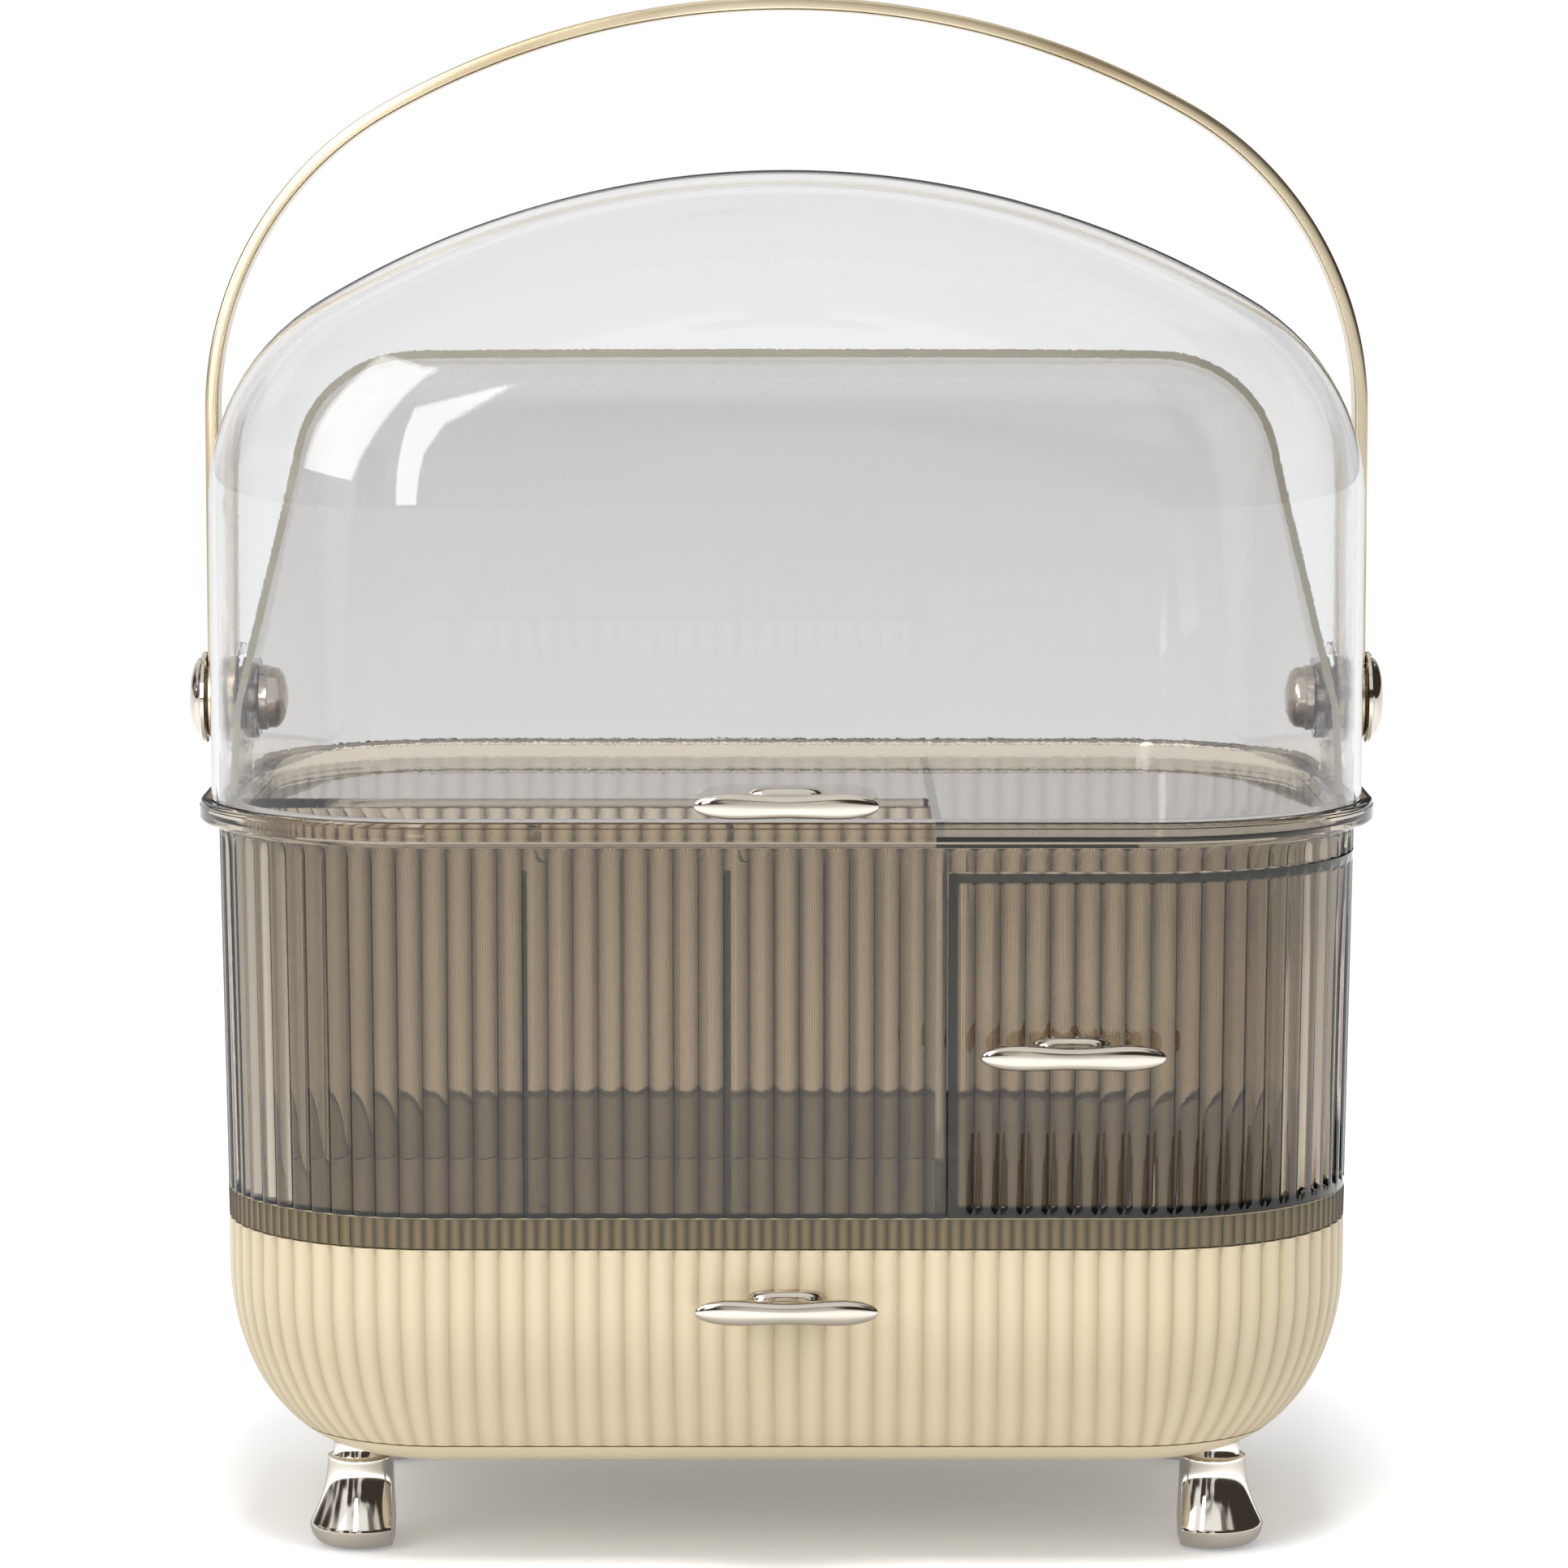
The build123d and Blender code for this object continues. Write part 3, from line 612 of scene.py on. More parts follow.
def box_form(name, low, high):
    """A plain box, used to cut with."""
    (x0, y0, z0), (x1, y1, z1) = low, high
    loop = [(x0, y0), (x1, y0), (x1, y1), (x0, y1)]
    loops = np.array([[(x, y, z) for x, y in loop] for z in (z0, z1)])
    return lofted(name, loops)


def leaning_block(name, shift):
    """Everything behind the plane that leans back through the pivots."""
    size = 300.0
    normal = np.array([0, np.cos(visor_back_lean), -np.sin(visor_back_lean)])
    up = np.array([0, np.sin(visor_back_lean), np.cos(visor_back_lean)])
    base = np.array([0, middle_y - shift, pivot_z])
    corners = [(-size, -size), (size, -size), (size, size), (-size, size)]
    sheet = np.array([base + np.array([a, 0, 0]) + b * up for a, b in corners])
    return lofted(name, np.stack([sheet, sheet + size * normal]))


def hood_passage():
    """The room that the hood sweeps through the visor's back: its outline and a clearance, turned about
    the pivot axis."""
    across, height = hood_profile(-hood_clearance)
    side = hood_half_width + hood_clearance
    across = np.concatenate([[side], across, -across[-2::-1], [-side]])
    height = np.concatenate([[0], height, height[-2::-1], [0]])
    first, last = -10, 50
    angle = np.radians(np.linspace(first, last, 24))[:, None]
    y = height * np.sin(angle) + middle_y
    z = height * np.cos(angle) + pivot_z
    return lofted("passage", points_at(across, y, z))


def visor_piece():
    """The clear dome: a closed form cut off by the leaning back, hollowed, and opened for the hood."""
    dome = cut(visor_form("visor_dome", 0), leaning_block("lean", 0))
    hollow = cut(visor_form("hollow", visor_wall), leaning_block("lean", visor_wall))
    limit = visor_half_width - visor_wall
    over_boss = pivot_z + boss_radius + hood_clearance
    under_rim = rim_high[2] - 3.0
    beside = box_form("beside", (-limit, visor_front_core + middle_y, under_rim),
                      (limit, half_depth + middle_y, over_boss))
    for tool in (hollow, beside, hood_passage()):
        dome = cut(dome, tool)
    lobes = [disc("visor_lobe", side, visor_lobe_radius, limit, visor_half_width, 0, 0.4) for side in (-1, 1)]
    return joined("visor_dome", [dome, *lobes])


# Handle


def strap_path():
    """The strap's outer line from the left pivot over the top to the right one: upright sides, a side arc
    and a flatter top arc, with the outward direction at each point."""
    half, side = strap_half, strap_side_radius
    side_x = half - side
    rise = strap_rise - strap_spring
    crown = (side_x ** 2 + rise ** 2 - side ** 2) / (2 * (rise - side))
    crown_z = strap_spring + rise - crown
    touch = np.arctan2(strap_spring - crown_z, side_x)
    up = np.linspace(0, strap_spring, 16)[:-1]
    side_angle = np.linspace(0, touch, 64)[:-1]
    top_angle = np.linspace(touch, np.pi / 2, 64)
    x = np.concatenate([half + 0 * up, side_x + side * np.cos(side_angle), crown * np.cos(top_angle)])
    z = np.concatenate([up, strap_spring + side * np.sin(side_angle), crown_z + crown * np.sin(top_angle)])
    turn = np.concatenate([0 * up, side_angle, top_angle])
    x = np.concatenate([x, -x[-2::-1]])
    z = np.concatenate([z, z[-2::-1]])
    turn = np.concatenate([turn, np.pi - turn[-2::-1]])
    return x, z + pivot_z, turn


def strap_piece():
    """The strap: a flat band with softened edges carried along its path, and an eye at each end."""
    x, z, turn = strap_path()
    edge = 0.9
    swing = np.radians(np.linspace(0, 90, 6))[None, :] + np.radians([[0], [90], [180], [270]])
    corner_y = (strap_width / 2 - edge) * np.array([[1], [-1], [-1], [1]])
    corner_depth = (strap_thickness / 2 - edge) * np.array([[1], [1], [-1], [-1]])
    along_y = (corner_y + edge * np.cos(swing)).ravel()
    depth = strap_thickness / 2 - (corner_depth + edge * np.sin(swing)).ravel()
    band_x = x[:, None] - depth * np.cos(turn)[:, None]
    band_z = z[:, None] - depth * np.sin(turn)[:, None]
    band = lofted("handle_band_form", points_at(band_x, along_y + middle_y, band_z))
    inner = strap_half - strap_thickness
    eyes = [disc("handle_eye", side, eye_radius, inner, strap_half, 0.5, 0.5) for side in (-1, 1)]
    return joined("handle_strap", [band, *eyes])


# Pulls, feet and pivots


def oval(steps, across_power, up_power):
    """A closed oval's two coordinates between -1 and 1, the squarer the lower the powers."""
    angle = np.linspace(0, 2 * np.pi, steps, endpoint=False)
    across = np.cos(angle)
    up = np.sin(angle)
    return np.sign(across) * np.abs(across) ** across_power, np.sign(up) * np.abs(up) ** up_power


def pull_piece(name, node):
    """A pull: a bow-shaped bar whose height swells to a lobe at each end, on a neck and an oval plate."""
    low, high = cad(node)
    centre_x = (low[0] + high[0]) / 2
    centre_z = (low[2] + high[2]) / 2
    half = (high[0] - low[0]) / 2
    front = low[1]
    depth = 4.2
    lobe = 3.85
    waist_cut = 0.26
    waist_spread = 1.9
    sag = 0.9
    end_power = 3.2
    bulge_power = 1 / 2.2
    thickness_power = 0.7
    least = 0.02
    share = np.sin(np.linspace(-np.pi / 2, np.pi / 2, 49))[:, None]
    end_round = (1 - np.abs(share) ** end_power) ** bulge_power
    waist = 1 - waist_cut * np.cos(np.clip(share * waist_spread, -np.pi / 2, np.pi / 2)) ** 2
    tall = np.maximum(lobe * end_round * waist, least)
    thick = np.maximum(depth / 2 * end_round ** thickness_power, least)
    ahead, upward = oval(28, 0.75, 0.75)
    y = front + depth / 2 + thick * ahead
    z = centre_z + (waist - 1) * sag + tall * upward
    bar = lofted("pull_bar", points_at(centre_x + half * share, y, z), 60.0)
    wall_y = high[1] - 1.4
    # How far back, half-length and half-height of the neck's sections, down to the plate's edge
    sections = np.array([
        (front + depth * 0.6, 6.0, 1.8), (wall_y - 4.2, 6.0, 1.8), (wall_y - 2.6, 6.6, 2.1),
        (wall_y - 1.6, 8.2, 3.0), (wall_y - 1.45, 9.6, 3.7), (wall_y - 0.9, 10.0, 4.0), (high[1], 10.0, 4.0),
    ])
    reach, long, tall = sections.T[:, :, None]
    across, upward = oval(48, 0.45, 0.6)
    stem = lofted("pull_neck", points_at(centre_x + long * across, reach, centre_z + tall * upward), 40.0)
    return joined(name, [bar, stem])


def foot_piece(name, node):
    """A foot: a flared chrome form, flat on the side towards the middle, with a collar under the pan."""
    low, high = cad(node)
    side = -1 if low[0] + high[0] < 0 else 1
    knee_radius = 13.6
    toe_radius = 9.2
    waist_radius = 8.8
    neck_radius = 7.2
    flat_radius = 8.6
    hollow = 0.7
    axis_x = low[0] + knee_radius if side < 0 else high[0] - knee_radius
    axis_y = (low[1] + high[1]) / 2
    base = low[2]
    knee = 5.2
    collar = base + 23.5
    lowest = np.radians(-80)
    swell = np.linspace(lowest, 0, 12)
    toe = toe_radius + (knee_radius - toe_radius) * np.cos(swell)
    climb = np.linspace(0, 1, 24)[1:]
    flare = waist_radius + (knee_radius - waist_radius) * (1 - climb) ** 2.4 * (1 + 0.6 * climb)
    profile = [(0, base + hollow), (neck_radius, base + hollow), (neck_radius + 0.2, base)]
    profile += list(zip(toe, base + knee * (1 - np.sin(swell) / np.sin(lowest))))
    profile += list(zip(flare, base + knee + climb * (collar - 0.5 - base - knee)))
    profile += [(8.75, collar - 0.2), (8.45, collar), (7.6, collar), (7.35, collar + 0.2)]
    profile += [(neck_radius, collar + 0.5), (neck_radius, high[2] - 0.1), (0, high[2] - 0.1)]

    def place(across, along, height):
        return points_at(axis_x - side * across, axis_y + along, height)

    return turned(name, profile, place, 35.0, 72, flat_at=flat_radius)


def pivot_span(node):
    """A pivot piece's nearest and farthest distance from the middle, and its radius."""
    low, high = cad(node)
    near, far = sorted((abs(low[0]), abs(high[0])))
    return near, far, (high[2] - low[2]) / 2


def cap_piece(name, side):
    """A domed pivot cap with a stepped edge and its pin."""
    tip, crown, radius = pivot_span("pivot_cap_" + name)
    seat = 156.4
    pin = 3.0
    step = 1.6
    spring = seat + 2.0
    swing = np.linspace(0, np.pi / 2, 12)[:-1]
    profile = [(0, tip), (pin, tip), (pin, seat), (radius - 0.5, seat), (radius, seat + 0.4),
               (radius, seat + 1.3), (radius - 0.4, seat + 1.7), (radius - 1.3, seat + 1.75)]
    profile += list(zip((radius - step) * np.cos(swing), spring + (crown - spring) * np.sin(swing)))
    profile += [(0, crown)]
    return turned("pivot_dome_" + name, profile, on_pivot(side), 40.0, 72)


def nut_piece(name, side):
    """The cap nut inside the hood: a round body with a domed end."""
    tip, seat, radius = pivot_span("pivot_nut_" + name)
    dome_radius = radius * 0.92
    rise = (seat - tip) * 0.45
    swing = np.linspace(0, np.pi / 2, 10)[:-1]
    profile = [(0, seat), (radius - 0.3, seat), (radius, seat - 0.3), (radius, seat - 2.4),
               (radius - 0.5, seat - 2.8)]
    profile += list(zip(dome_radius * np.cos(swing), tip + rise - rise * np.sin(swing)))
    profile += [(0, tip)]
    return turned("pivot_cap_nut_" + name, profile, on_pivot(side), 40.0, 48)


# Materials


def new_node(tree, kind):
    """A new shader node of a kind."""
    return tree.nodes.new("ShaderNode" + kind)


def link(tree, source, target):
    """Connects a socket, or sets a plain value on it."""
    if isinstance(source, bpy.types.NodeSocket):
        tree.links.new(source, target)
    else:
        target.default_value = source


def math(tree, operation, *values, clamp=False):
    """A Math node's result."""
    node = new_node(tree, "Math")
    node.operation = operation
    node.use_clamp = clamp
    for value, socket in zip(values, node.inputs):
        link(tree, value, socket)
    return node.outputs[0]


def added(tree, kind, **values):
    """A new node of a kind, with plain values or connections on the inputs that are named."""
    node = new_node(tree, kind)
    for name, source in values.items():
        link(tree, source, node.inputs[name.replace("_", " ")])
    return node


def ranged(tree, value, low, high, to_low=0.0, to_high=1.0, smooth=False):
    """A value carried from one range to another and held inside it."""
    node = added(tree, "MapRange", Value=value, From_Min=low, From_Max=high, To_Min=to_low, To_Max=to_high)
    node.interpolation_type = "SMOOTHSTEP" if smooth else "LINEAR"
    return node.outputs["Result"]


def mixed(tree, share, first, second):
    """Two colours mixed."""
    node = new_node(tree, "Mix")
    node.data_type = "RGBA"
    for name, source in (("Factor", share), ("A", first), ("B", second)):
        link(tree, source, node.inputs[name])
    return node.outputs["Result"]


def split_up(tree, vector):
    """The X, Y and Z of a vector."""
    return added(tree, "SeparateXYZ", Vector=vector).outputs


def position(tree):
    """Where a point lies in the piece's own space, in metres."""
    return new_node(tree, "TexCoord").outputs["Object"]


def noise(tree, scale, detail=3.0, stretch=(1, 1, 1), distortion=0.0):
    """Noise over the piece's own space, its scale counted per metre."""
    place = added(tree, "Mapping", Vector=position(tree), Scale=stretch).outputs["Vector"]
    cloud = added(tree, "TexNoise", Vector=place, Scale=scale, Detail=detail, Distortion=distortion)
    return cloud.outputs["Fac"]


def bumped(tree, height, strength, distance):
    """The normal of a faint relief, its distance in metres."""
    return added(tree, "Bump", Height=height, Strength=strength, Distance=distance).outputs["Normal"]


def surfaced(tree, target, names, color, roughness, normal):
    """Connects a colour, a roughness and a normal to the named inputs of a node."""
    for name, source in zip(names, (color, roughness, normal)):
        link(tree, source, target.inputs[name])


def new_group(name, inputs, outputs):
    """A shader node group with named value, colour and vector sockets."""
    group = bpy.data.node_groups.new(name, "ShaderNodeTree")
    kinds = {"value": "NodeSocketFloat", "color": "NodeSocketColor", "vector": "NodeSocketVector"}
    for direction, sockets in (("INPUT", inputs), ("OUTPUT", outputs)):
        for socket, kind, *default in sockets:
            made = group.interface.new_socket(socket, in_out=direction, socket_type=kinds[kind])
            if default:
                made.default_value = default[0]
    return group, group.nodes.new("NodeGroupInput"), group.nodes.new("NodeGroupOutput")


def placed(tree, group, **values):
    """A group placed in a material, its inputs set or connected by name."""
    node = new_node(tree, "Group")
    node.node_tree = group
    for name, source in values.items():
        link(tree, source, node.inputs[name.replace("_", " ").capitalize()])
    return node


group_surface = ("Color", "Roughness", "Normal")
shader_surface = ("Base Color", "Roughness", "Normal")
surface_sockets = [("Color", "color"), ("Roughness", "value"), ("Normal", "vector")]


def toned(group, given, tone):
    """The group's given colour made lighter or darker."""
    return added(group, "HueSaturation", Color=given.outputs["Color"], Value=tone).outputs["Color"]


def moulding_group():
    """Moulded plastic: slow changes of tone, a satin that comes and goes, and a faint flow in the surface."""
    inputs = [("Color", "color"), ("Tone", "value", 0.03), ("Roughness", "value", 0.3),
              ("Satin", "value", 0.05)]
    group, given, result = new_group("moulding", inputs, surface_sockets)
    cloud = noise(group, 14.0, 3.0, distortion=0.4)
    grain = noise(group, 900.0, 2.0)
    low = math(group, "SUBTRACT", 1.0, given.outputs["Tone"])
    high = math(group, "ADD", 1.0, given.outputs["Tone"])
    color = toned(group, given, ranged(group, cloud, 0.3, 0.7, low, high))
    change = math(group, "MULTIPLY", math(group, "SUBTRACT", cloud, 0.5), given.outputs["Satin"])
    rough = math(group, "ADD", given.outputs["Roughness"], math(group, "MULTIPLY", change, 2.0), clamp=True)
    surfaced(group, result, group_surface, color, rough, bumped(group, grain, 0.04, 0.0001))
    return group


def rib_group():
    """How deep between two ribs a point lies, from its place along them: 0 on a crest, 1 in a valley. It sets
    the share of painted shade in the valleys.
    """
    group, given, result = new_group("rib_valley_shade", [("Sharpness", "value", 2.0)], [("Valley", "value")])
    places = new_node(group, "UVMap")
    places.uv_map = "ribs"
    along = split_up(group, places.outputs["UV"])["X"]
    away = math(group, "ABSOLUTE", math(group, "SUBTRACT", along, math(group, "ROUND", along)))
    valley_shade = math(group, "POWER", math(group, "MULTIPLY", away, 2.0, clamp=True), given.outputs["Sharpness"])
    link(group, valley_shade, result.inputs["Valley"])
    return group


def polish_group():
    """Polished metal: faint clouding, hairlines and specks in the gloss."""
    inputs = [("Color", "color"), ("Roughness", "value", 0.08), ("Hairlines", "value", 0.03)]
    group, given, result = new_group("polish", inputs, surface_sockets)
    cloud = noise(group, 60.0, 4.0, distortion=0.5)
    lines = noise(group, 220.0, 2.0, (0.25, 6.0, 6.0))
    color = toned(group, given, ranged(group, cloud, 0.3, 0.7, 0.94, 1.04))
    streak = math(group, "MULTIPLY", ranged(group, lines, 0.45, 0.75), given.outputs["Hairlines"])
    rough = math(group, "ADD", given.outputs["Roughness"], streak, clamp=True)
    surfaced(group, result, group_surface, color, rough, bumped(group, cloud, 0.05, 0.00005))
    return group


moulding = moulding_group()
rib_valley_shade = rib_group()
polish = polish_group()


def started(name, **settings):
    """A material with one Principled shader; the settings go on the shader's own sockets."""
    material = bpy.data.materials.new(name)
    material.use_nodes = True
    shader = material.node_tree.nodes["Principled BSDF"]
    for socket, value in settings.items():
        shader.inputs[socket.replace("_", " ")].default_value = value
    return material, material.node_tree, shader


def moulded(name, color, roughness, tone=0.03, satin=0.05, valley_shade=None, sharpness=2.0, frame_color=None,
            **settings):
    """Moulded plastic, with painted shade in its valleys and a darker flat frame, where colours are given for
    them.
    """
    material, tree, shader = started(name, **settings)
    finish = placed(tree, moulding, color=(*color, 1), tone=tone, roughness=roughness, satin=satin)
    final = finish.outputs["Color"]
    # The valley colour is painted shade, mixed in more deeply between the ribs.
    if valley_shade is not None:
        depth = placed(tree, rib_valley_shade, sharpness=sharpness).outputs["Valley"]
        final = mixed(tree, depth, final, (*valley_shade, 1))
    if frame_color is not None:
        band = new_node(tree, "Attribute")
        band.attribute_name = "border"
        final = mixed(tree, band.outputs["Fac"], final, (*frame_color, 1))
    surfaced(tree, shader, shader_surface, final, finish.outputs["Roughness"], finish.outputs["Normal"])
    return material


def overlaid(material, share, color):
    """Mixes another colour over a material's own, by a share that changes over the surface."""
    tree = material.node_tree
    socket = tree.nodes["Principled BSDF"].inputs["Base Color"]
    link(tree, mixed(tree, share, socket.links[0].from_socket, (*color, 1)), socket)


def edge_tinted(material, color, sharpness):
    """Deepens a clear plastic's tint where the sight line runs along the wall, as in a thick sheet."""
    tree = material.node_tree
    facing = added(tree, "LayerWeight", Blend=0.5).outputs["Facing"]
    overlaid(material, math(tree, "POWER", facing, sharpness), color)


def banded(material, color, low, high):
    """Gives a piece another colour between two heights, as for a dark joint line or a floor on its top."""
    tree = material.node_tree
    height = split_up(tree, position(tree))["Z"]
    blur = 0.1
    over = ranged(tree, height, (low - blur) * MM, (low + blur) * MM)
    under = ranged(tree, height, (high - blur) * MM, (high + blur) * MM, 1, 0)
    overlaid(material, math(tree, "MULTIPLY", over, under), color)


def polished(name, color, roughness, hairlines):
    """Plated or polished metal."""
    material, tree, shader = started(name, Metallic=1.0)
    finish = placed(tree, polish, color=(*color, 1), roughness=roughness, hairlines=hairlines)
    surfaced(tree, shader, shader_surface, *(finish.outputs[name] for name in group_surface))
    return material


def brushed_champagne():
    """The handle's champagne plating: long soft bands of painted reflection, light and dark, with brushing
    along the strap.
    """
    material, tree, shader = started("brushed_champagne", Metallic=1.0)
    bands = noise(tree, 9.0, 2.0, (1, 0.2, 1), 0.3)
    brushing = noise(tree, 60.0, 2.0, (0.5, 14.0, 0.5))
    # The light and dark bands in the colour are painted reflections; the brushing adds fine darker streaks.
    color = mixed(tree, ranged(tree, bands, 0.38, 0.62), (0.47, 0.37, 0.22, 1), (0.76, 0.66, 0.485, 1))
    color = mixed(tree, ranged(tree, brushing, 0.3, 0.7, 0.0, 0.12), color, (0.45, 0.36, 0.22, 1))
    rough = ranged(tree, brushing, 0.3, 0.7, 0.2, 0.32)
    surfaced(tree, shader, shader_surface, color, rough, bumped(tree, brushing, 0.1, 0.0001))
    return material


see_through = {"Transmission_Weight": 1.0, "IOR": 1.45}

# Moulded: colour, roughness, change of tone, change of satin, then colour and sharpness of the painted valley
# shade and colour of the frame. Polished: colour, roughness, hairlines.
materials = {
    "cream": moulded("cream_plastic", (0.735, 0.622, 0.424), 0.34, 0.015, 0.06, (0.57, 0.46, 0.29), 1.7,
                     IOR=1.5),
    "cream_plain": moulded("plain_cream_plastic", (0.765, 0.65, 0.447), 0.34, 0.015, 0.06, IOR=1.5),
    "case": moulded("fluted_smoked_plastic", (0.60, 0.53, 0.43), 0.02, 0.03, 0.015, (0.13, 0.105, 0.075),
                    2.0, **see_through),
    "drawer": moulded("fluted_drawer_plastic", (0.58, 0.50, 0.40), 0.02, 0.03, 0.015, (0.12, 0.095, 0.065),
                      2.0, (0.055, 0.062, 0.05), **see_through),
    "belt": moulded("belt_plastic", (0.32, 0.24, 0.10), 0.06, 0.04, 0.02, (0.07, 0.052, 0.022), 1.3,
                    Transmission_Weight=0.45, IOR=1.45),
    "rim": moulded("rim_plastic", (0.63, 0.56, 0.465), 0.03, 0.03, 0.015, **see_through),
    "visor": moulded("visor_plastic", (0.92, 0.92, 0.92), 0.008, 0.004, 0.006, **see_through),
    "hood": moulded("hood_plastic", (0.67, 0.663, 0.652), 0.01, 0.006, 0.006, **see_through),
    "hood_edge": moulded("hood_edge_plastic", (0.60, 0.56, 0.43), 0.2, 0.05, 0.05, Transmission_Weight=0.3,
                         IOR=1.45),
    "panel": moulded("panel_plastic", (0.80, 0.775, 0.73), 0.015, 0.01, 0.01, **see_through),
    "champagne": brushed_champagne(),
    "chrome": polished("warm_chrome", (0.80, 0.76, 0.70), 0.06, 0.03),
    "nut": polished("nut_chrome", (0.48, 0.42, 0.36), 0.12, 0.05),
    "pull": polished("pull_plating", (0.61, 0.565, 0.50), 0.07, 0.03),
    "rubber": moulded("black_rubber", (0.045, 0.045, 0.045), 0.7, 0.2, 0.1),
    "steel": polished("screw_steel", (0.6, 0.6, 0.6), 0.25, 0.1),
    "nylon": moulded("white_nylon", (0.8, 0.8, 0.78), 0.45, 0.04, 0.08),
}

# Colour of the deeper tint, and how sharply it keeps to the edges
edge_tints = {
    "hood": ((0.42, 0.36, 0.25), 7.0),
    "visor": ((0.22, 0.22, 0.24), 10.0),
    "case": ((0.16, 0.13, 0.09), 1.8),
    "drawer": ((0.16, 0.13, 0.09), 1.8),
    "rim": ((0.30, 0.26, 0.17), 4.0),
    "panel": ((0.45, 0.42, 0.36), 6.0),
}
for name, (tint, sharpness) in edge_tints.items():
    edge_tinted(materials[name], tint, sharpness)
banded(materials["belt"], (0.88, 0.74, 0.48), belt_high[2] - 0.2, case_high[2])
banded(materials["case"], (0.035, 0.034, 0.026), belt_high[2] - 0.5, belt_high[2] + 1.1)


def dress(piece, body, slot, material, *nodes, second=None):
    """Gives a new piece its material and body, and hides the nodes it stands for; the slot argument is not
    used.
    """
    piece.data.materials.append(materials[material])
    if second is not None:
        piece.data.materials.append(materials[second])
    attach(piece, body)
    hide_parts(*nodes)


def coat(material, *nodes):
    """Gives CAD nodes that stay a better material."""
    for node in nodes:
        mesh = frame["nodes"][node].data
        mesh.materials.clear()
        mesh.materials.append(materials[material])


# Camera and stage


def add_camera():
    """The photograph's view: a long lens, a little above, looking slightly down."""
    distance = 1500.0
    tilt = np.radians(6.4)
    aim_height = 208.5
    aim = np.array([0, middle_y - half_depth, aim_height])
    place = aim + distance * np.array([0, -np.cos(tilt), np.sin(tilt)])
    camera_data = bpy.data.cameras.new("camera")
    camera_data.sensor_width = 36.0
    camera_data.lens = 135.4
    camera_data.shift_x = -0.0016
    camera_data.clip_end = 100
    camera = linked("camera", camera_data)
    camera.location = place * MM
    camera.rotation_euler = (np.pi / 2 - tilt, 0, 0)
    scene.camera = camera


def add_floor():
    """A wide pale floor that glows white away from the body, weaker under it as a painted shadow, and that
    mirrors show darker close by as painted shade.
    """
    size = 40000.0
    points = np.array([(-size, -size, 0), (size, -size, 0), (size, size, 0), (-size, size, 0)])
    floor = new_piece("floor", points, [np.array([[0, 1, 2, 3]])])
    material, tree = started("floor")[:2]
    tree.nodes.clear()
    rays = new_node(tree, "LightPath").outputs
    mirrored = rays["Is Glossy Ray"]
    seen = math(tree, "MAXIMUM", rays["Is Camera Ray"], rays["Is Transmission Ray"])
    seen = math(tree, "MAXIMUM", seen, mirrored)
    stretched = added(tree, "Mapping", Vector=position(tree), Scale=(1.15, 1.2, 0)).outputs["Vector"]
    length = added(tree, "VectorMath", Vector=stretched)
    length.operation = "LENGTH"
    away = length.outputs["Value"]
    # Close to the body, mirrors see the floor darker: painted shade of the floor under it.
    dark_until, pale_from = 0.22, 0.45
    pale = (0.87, 0.88, 0.895, 1)
    painted_mirror_shade = (0.30, 0.28, 0.25, 1)
    near = math(tree, "MULTIPLY", mirrored, ranged(tree, away, dark_until, pale_from, 1, 0, smooth=True))
    matt = added(tree, "BsdfDiffuse", Color=mixed(tree, near, pale, painted_mirror_shade))
    # Close to the body the glow is weaker: a painted shadow under it.
    shade_until, light_from = 0.10, 0.30
    least, most = 0.19, 0.58
    glow_with_painted_shadow = ranged(tree, away, shade_until, light_from, least, most, smooth=True)
    glow = added(tree, "Emission", Color=(1, 1, 1, 1), Strength=math(tree, "MULTIPLY", seen, glow_with_painted_shadow))
    both = new_node(tree, "AddShader")
    link(tree, matt.outputs[0], both.inputs[0])
    link(tree, glow.outputs[0], both.inputs[1])
    added(tree, "OutputMaterial", Surface=both.outputs[0])
    floor.data.materials.append(material)


def mirrored_card(tree, way, middle_x, middle_z, reach_x, reach_z):
    """How much a direction looks at a dark card that stands in front, with soft edges: 1 in its middle."""
    beside = math(tree, "ABSOLUTE", math(tree, "SUBTRACT", way["X"], middle_x))
    above = math(tree, "ABSOLUTE", math(tree, "SUBTRACT", way["Z"], middle_z))
    card = math(tree, "MULTIPLY", ranged(tree, beside, reach_x, reach_x * 0.6),
                ranged(tree, above, reach_z, reach_z * 0.5))
    return math(tree, "MULTIPLY", card, ranged(tree, way["Y"], 0.0, -0.3))


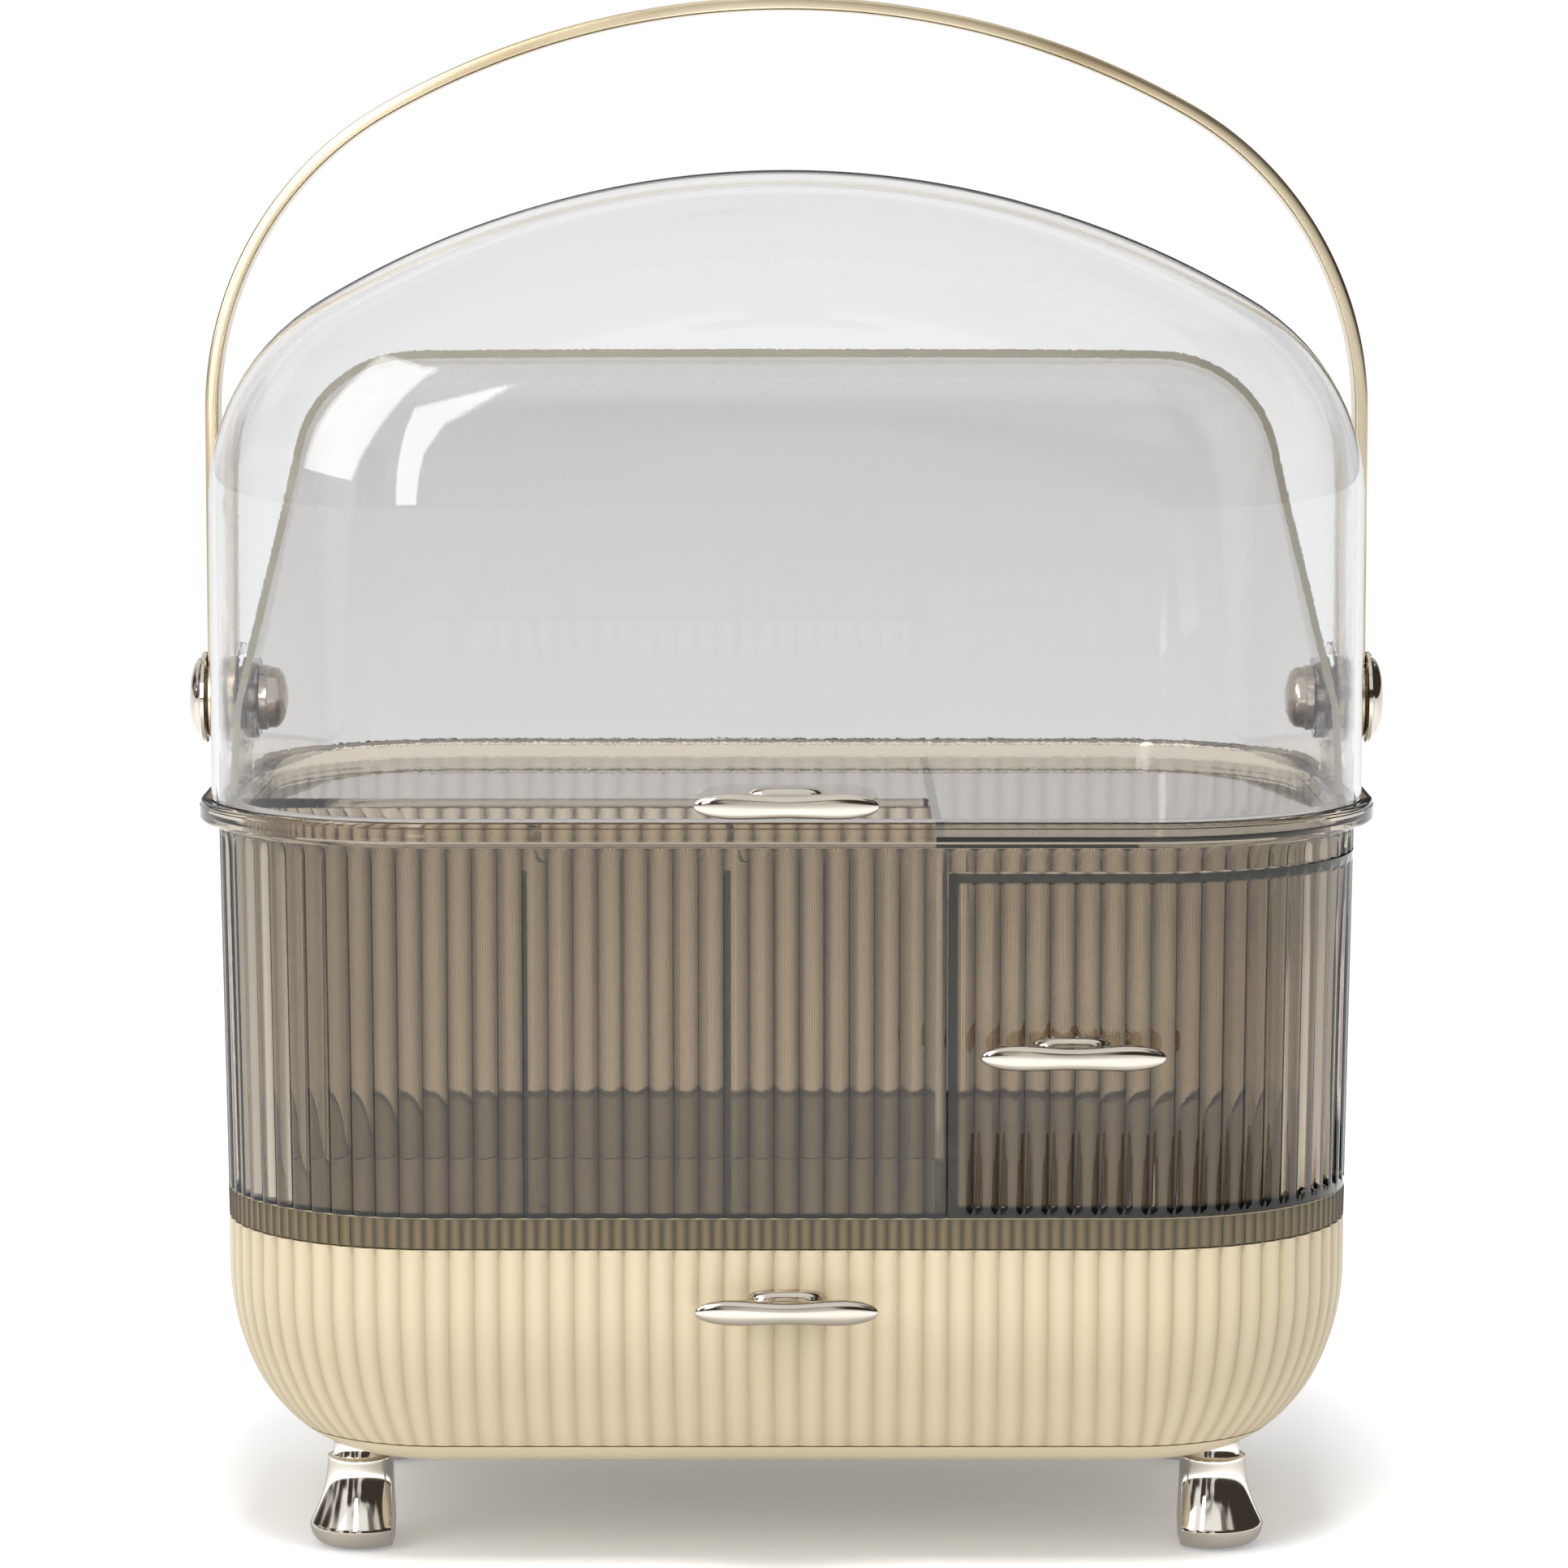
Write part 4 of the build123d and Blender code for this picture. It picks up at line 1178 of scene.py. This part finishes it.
def add_world():
    """White where it is seen directly or through plastic, an even soft light on matt surfaces, and for
    mirrors a bright room with darker places in it."""
    world = bpy.data.worlds.new("studio")
    scene.world = world
    world.use_nodes = True
    tree = world.node_tree
    tree.nodes.clear()
    direction = new_node(tree, "TexCoord").outputs["Generated"]
    way = split_up(tree, direction)
    level = added(tree, "TexNoise", Vector=direction, Scale=2.3, Detail=1.5, Distortion=0.5).outputs["Fac"]
    for axis, slope in (("X", -0.16), ("Z", 0.14)):
        level = math(tree, "ADD", level, math(tree, "MULTIPLY", way[axis], slope))
    sideways = ranged(tree, math(tree, "ABSOLUTE", way["X"]), 0.5, 0.9, 0, 0.3)
    level = math(tree, "SUBTRACT", level, sideways)
    # Each dark card's middle across and up, and its reach across and up
    card_depth = 0.45
    for spans in ((0.36, 0.22, 0.34, 0.2), (-0.5, 0.16, 0.12, 0.3)):
        card = mirrored_card(tree, way, *spans)
        level = math(tree, "SUBTRACT", level, math(tree, "MULTIPLY", card, card_depth))
    bands = added(tree, "ValToRGB", Fac=level)
    stops = bands.color_ramp.elements
    for stop, place, shade in zip(stops, (0.36, 0.66), ((0.05, 0.042, 0.034, 1), (1, 1, 1, 1))):
        stop.position = place
        stop.color = shade
    for place, shade in ((0.44, 0.16), (0.49, 0.5), (0.55, 0.82)):
        stops.new(place).color = (shade, shade * 0.96, shade * 0.9, 1)
    rays = new_node(tree, "LightPath").outputs
    straight = math(tree, "MAXIMUM", rays["Is Camera Ray"], rays["Is Transmission Ray"])
    even = 0.5
    color = mixed(tree, rays["Is Glossy Ray"], (even, even, even, 1), bands.outputs["Color"])
    color = mixed(tree, straight, color, (1, 1, 1, 1))
    sky = added(tree, "Background", Color=color)
    added(tree, "OutputWorld", Surface=sky.outputs[0])


def add_lamp(name, place, across, up, power, lights=True):
    """A rectangular soft lamp in millimetres: its middle and the two edges that span it, across and up. It
    shines along minus their cross product. One that lights isn't mirrored, and the rest are only that."""
    lamp_data = bpy.data.lights.new(name, "AREA")
    lamp_data.shape = "RECTANGLE"
    lamp_data.size = np.linalg.norm(across) * MM
    lamp_data.size_y = np.linalg.norm(up) * MM
    lamp_data.energy = power
    x = np.array(across) / np.linalg.norm(across)
    z = np.cross(x, up)
    z = z / np.linalg.norm(z)
    frame_of_lamp = np.eye(4)
    frame_of_lamp[:3, :3] = np.stack([x, np.cross(z, x), z], axis=1)
    frame_of_lamp[:3, 3] = np.array(place) * MM
    lamp = linked(name, lamp_data)
    lamp.matrix_world = Matrix(frame_of_lamp)
    lamp.visible_diffuse = lights
    lamp.visible_glossy = not lights
    lamp.visible_transmission = not lights


add_camera()
add_floor()
add_world()
add_lamp("key", (-1000, -1000, 900), (860, -860, 0), (520, 520, 900), 7.5)
add_lamp("overhead", (0, -620, 1500), (420, 0, 0), (0, 385, 159), 17)
add_lamp("window_left", (-506, -386, 646), (200, -274, -46), (278, 201, 444), 3.2, lights=False)
add_lamp("window_right", (-236, -684, 510), (110, -25, 0), (47, 184, 442), 1.0, lights=False)

scene.view_settings.view_transform = "Standard"

# Base
casing_start = right_station(casing_edge)
casing_stations = stations(casing_start, rib_total - casing_start)
casing = ribbed_wall("ribbed_casing", casing_stations, casing_high[2], casing_low[2])
dress(casing, "cabinet", "cream_plastic", "cream", "base_casing")
front_end = right_station(base_drawer_edge)
front_stations = stations(-front_end, front_end)
front = ribbed_wall("ribbed_drawer_front", front_stations, front_high[2], front_low[2])
dress(front, "base_drawer", "cream_plastic", "cream", "base_drawer_front")
dress(belt_band(), "cabinet", "smoked_plastic", "belt", "belt")

# Case
dress(case_piece(), "cabinet", "smoked_plastic", "case", "case_wall")
dress(corner_piece(), "corner_drawer", "smoked_plastic", "drawer", "corner_drawer_front")
dress(rim_piece(), "cabinet", "smoked_plastic", "rim", "rim")

# Hood, visor and handle
dress(hood_piece(), "cabinet", "clear_plastic", "hood", "hood", second="hood_edge")
dress(visor_piece(), "visor", "clear_plastic", "visor", "visor_shell")
dress(strap_piece(), "handle", "champagne_metal", "champagne", "handle_band")

# Pulls
for name, body in (("visor_pull", "visor"), ("base_drawer_pull", "base_drawer"),
                   ("corner_drawer_pull", "corner_drawer")):
    dress(pull_piece("bow_" + name, name), body, "champagne_metal", "pull", name)

# Feet and pivots
for place in ("front_left", "front_right", "rear_left", "rear_right"):
    dress(foot_piece("flared_foot_" + place, "foot_" + place), "cabinet", "chrome", "chrome", "foot_" + place)
for name, side in (("left", -1), ("right", 1)):
    dress(cap_piece(name, side), "cabinet", "chrome", "pull", "pivot_cap_" + name)
    dress(nut_piece(name, side), "cabinet", "chrome", "nut", "pivot_nut_" + name)

# Nodes that stay
coat("cream_plain", "base_pan", "base_drawer_tray")
coat("panel", "bay_wall", "well_back", "divider_left", "divider_right", "corner_drawer_box")
coat("hood", "deck")
coat("rubber", "foot_pads")
coat("steel", "foot_screws", "visor_pull_screw", "base_drawer_pull_screw", "corner_drawer_pull_screw")
coat("nylon", "pivot_washers")
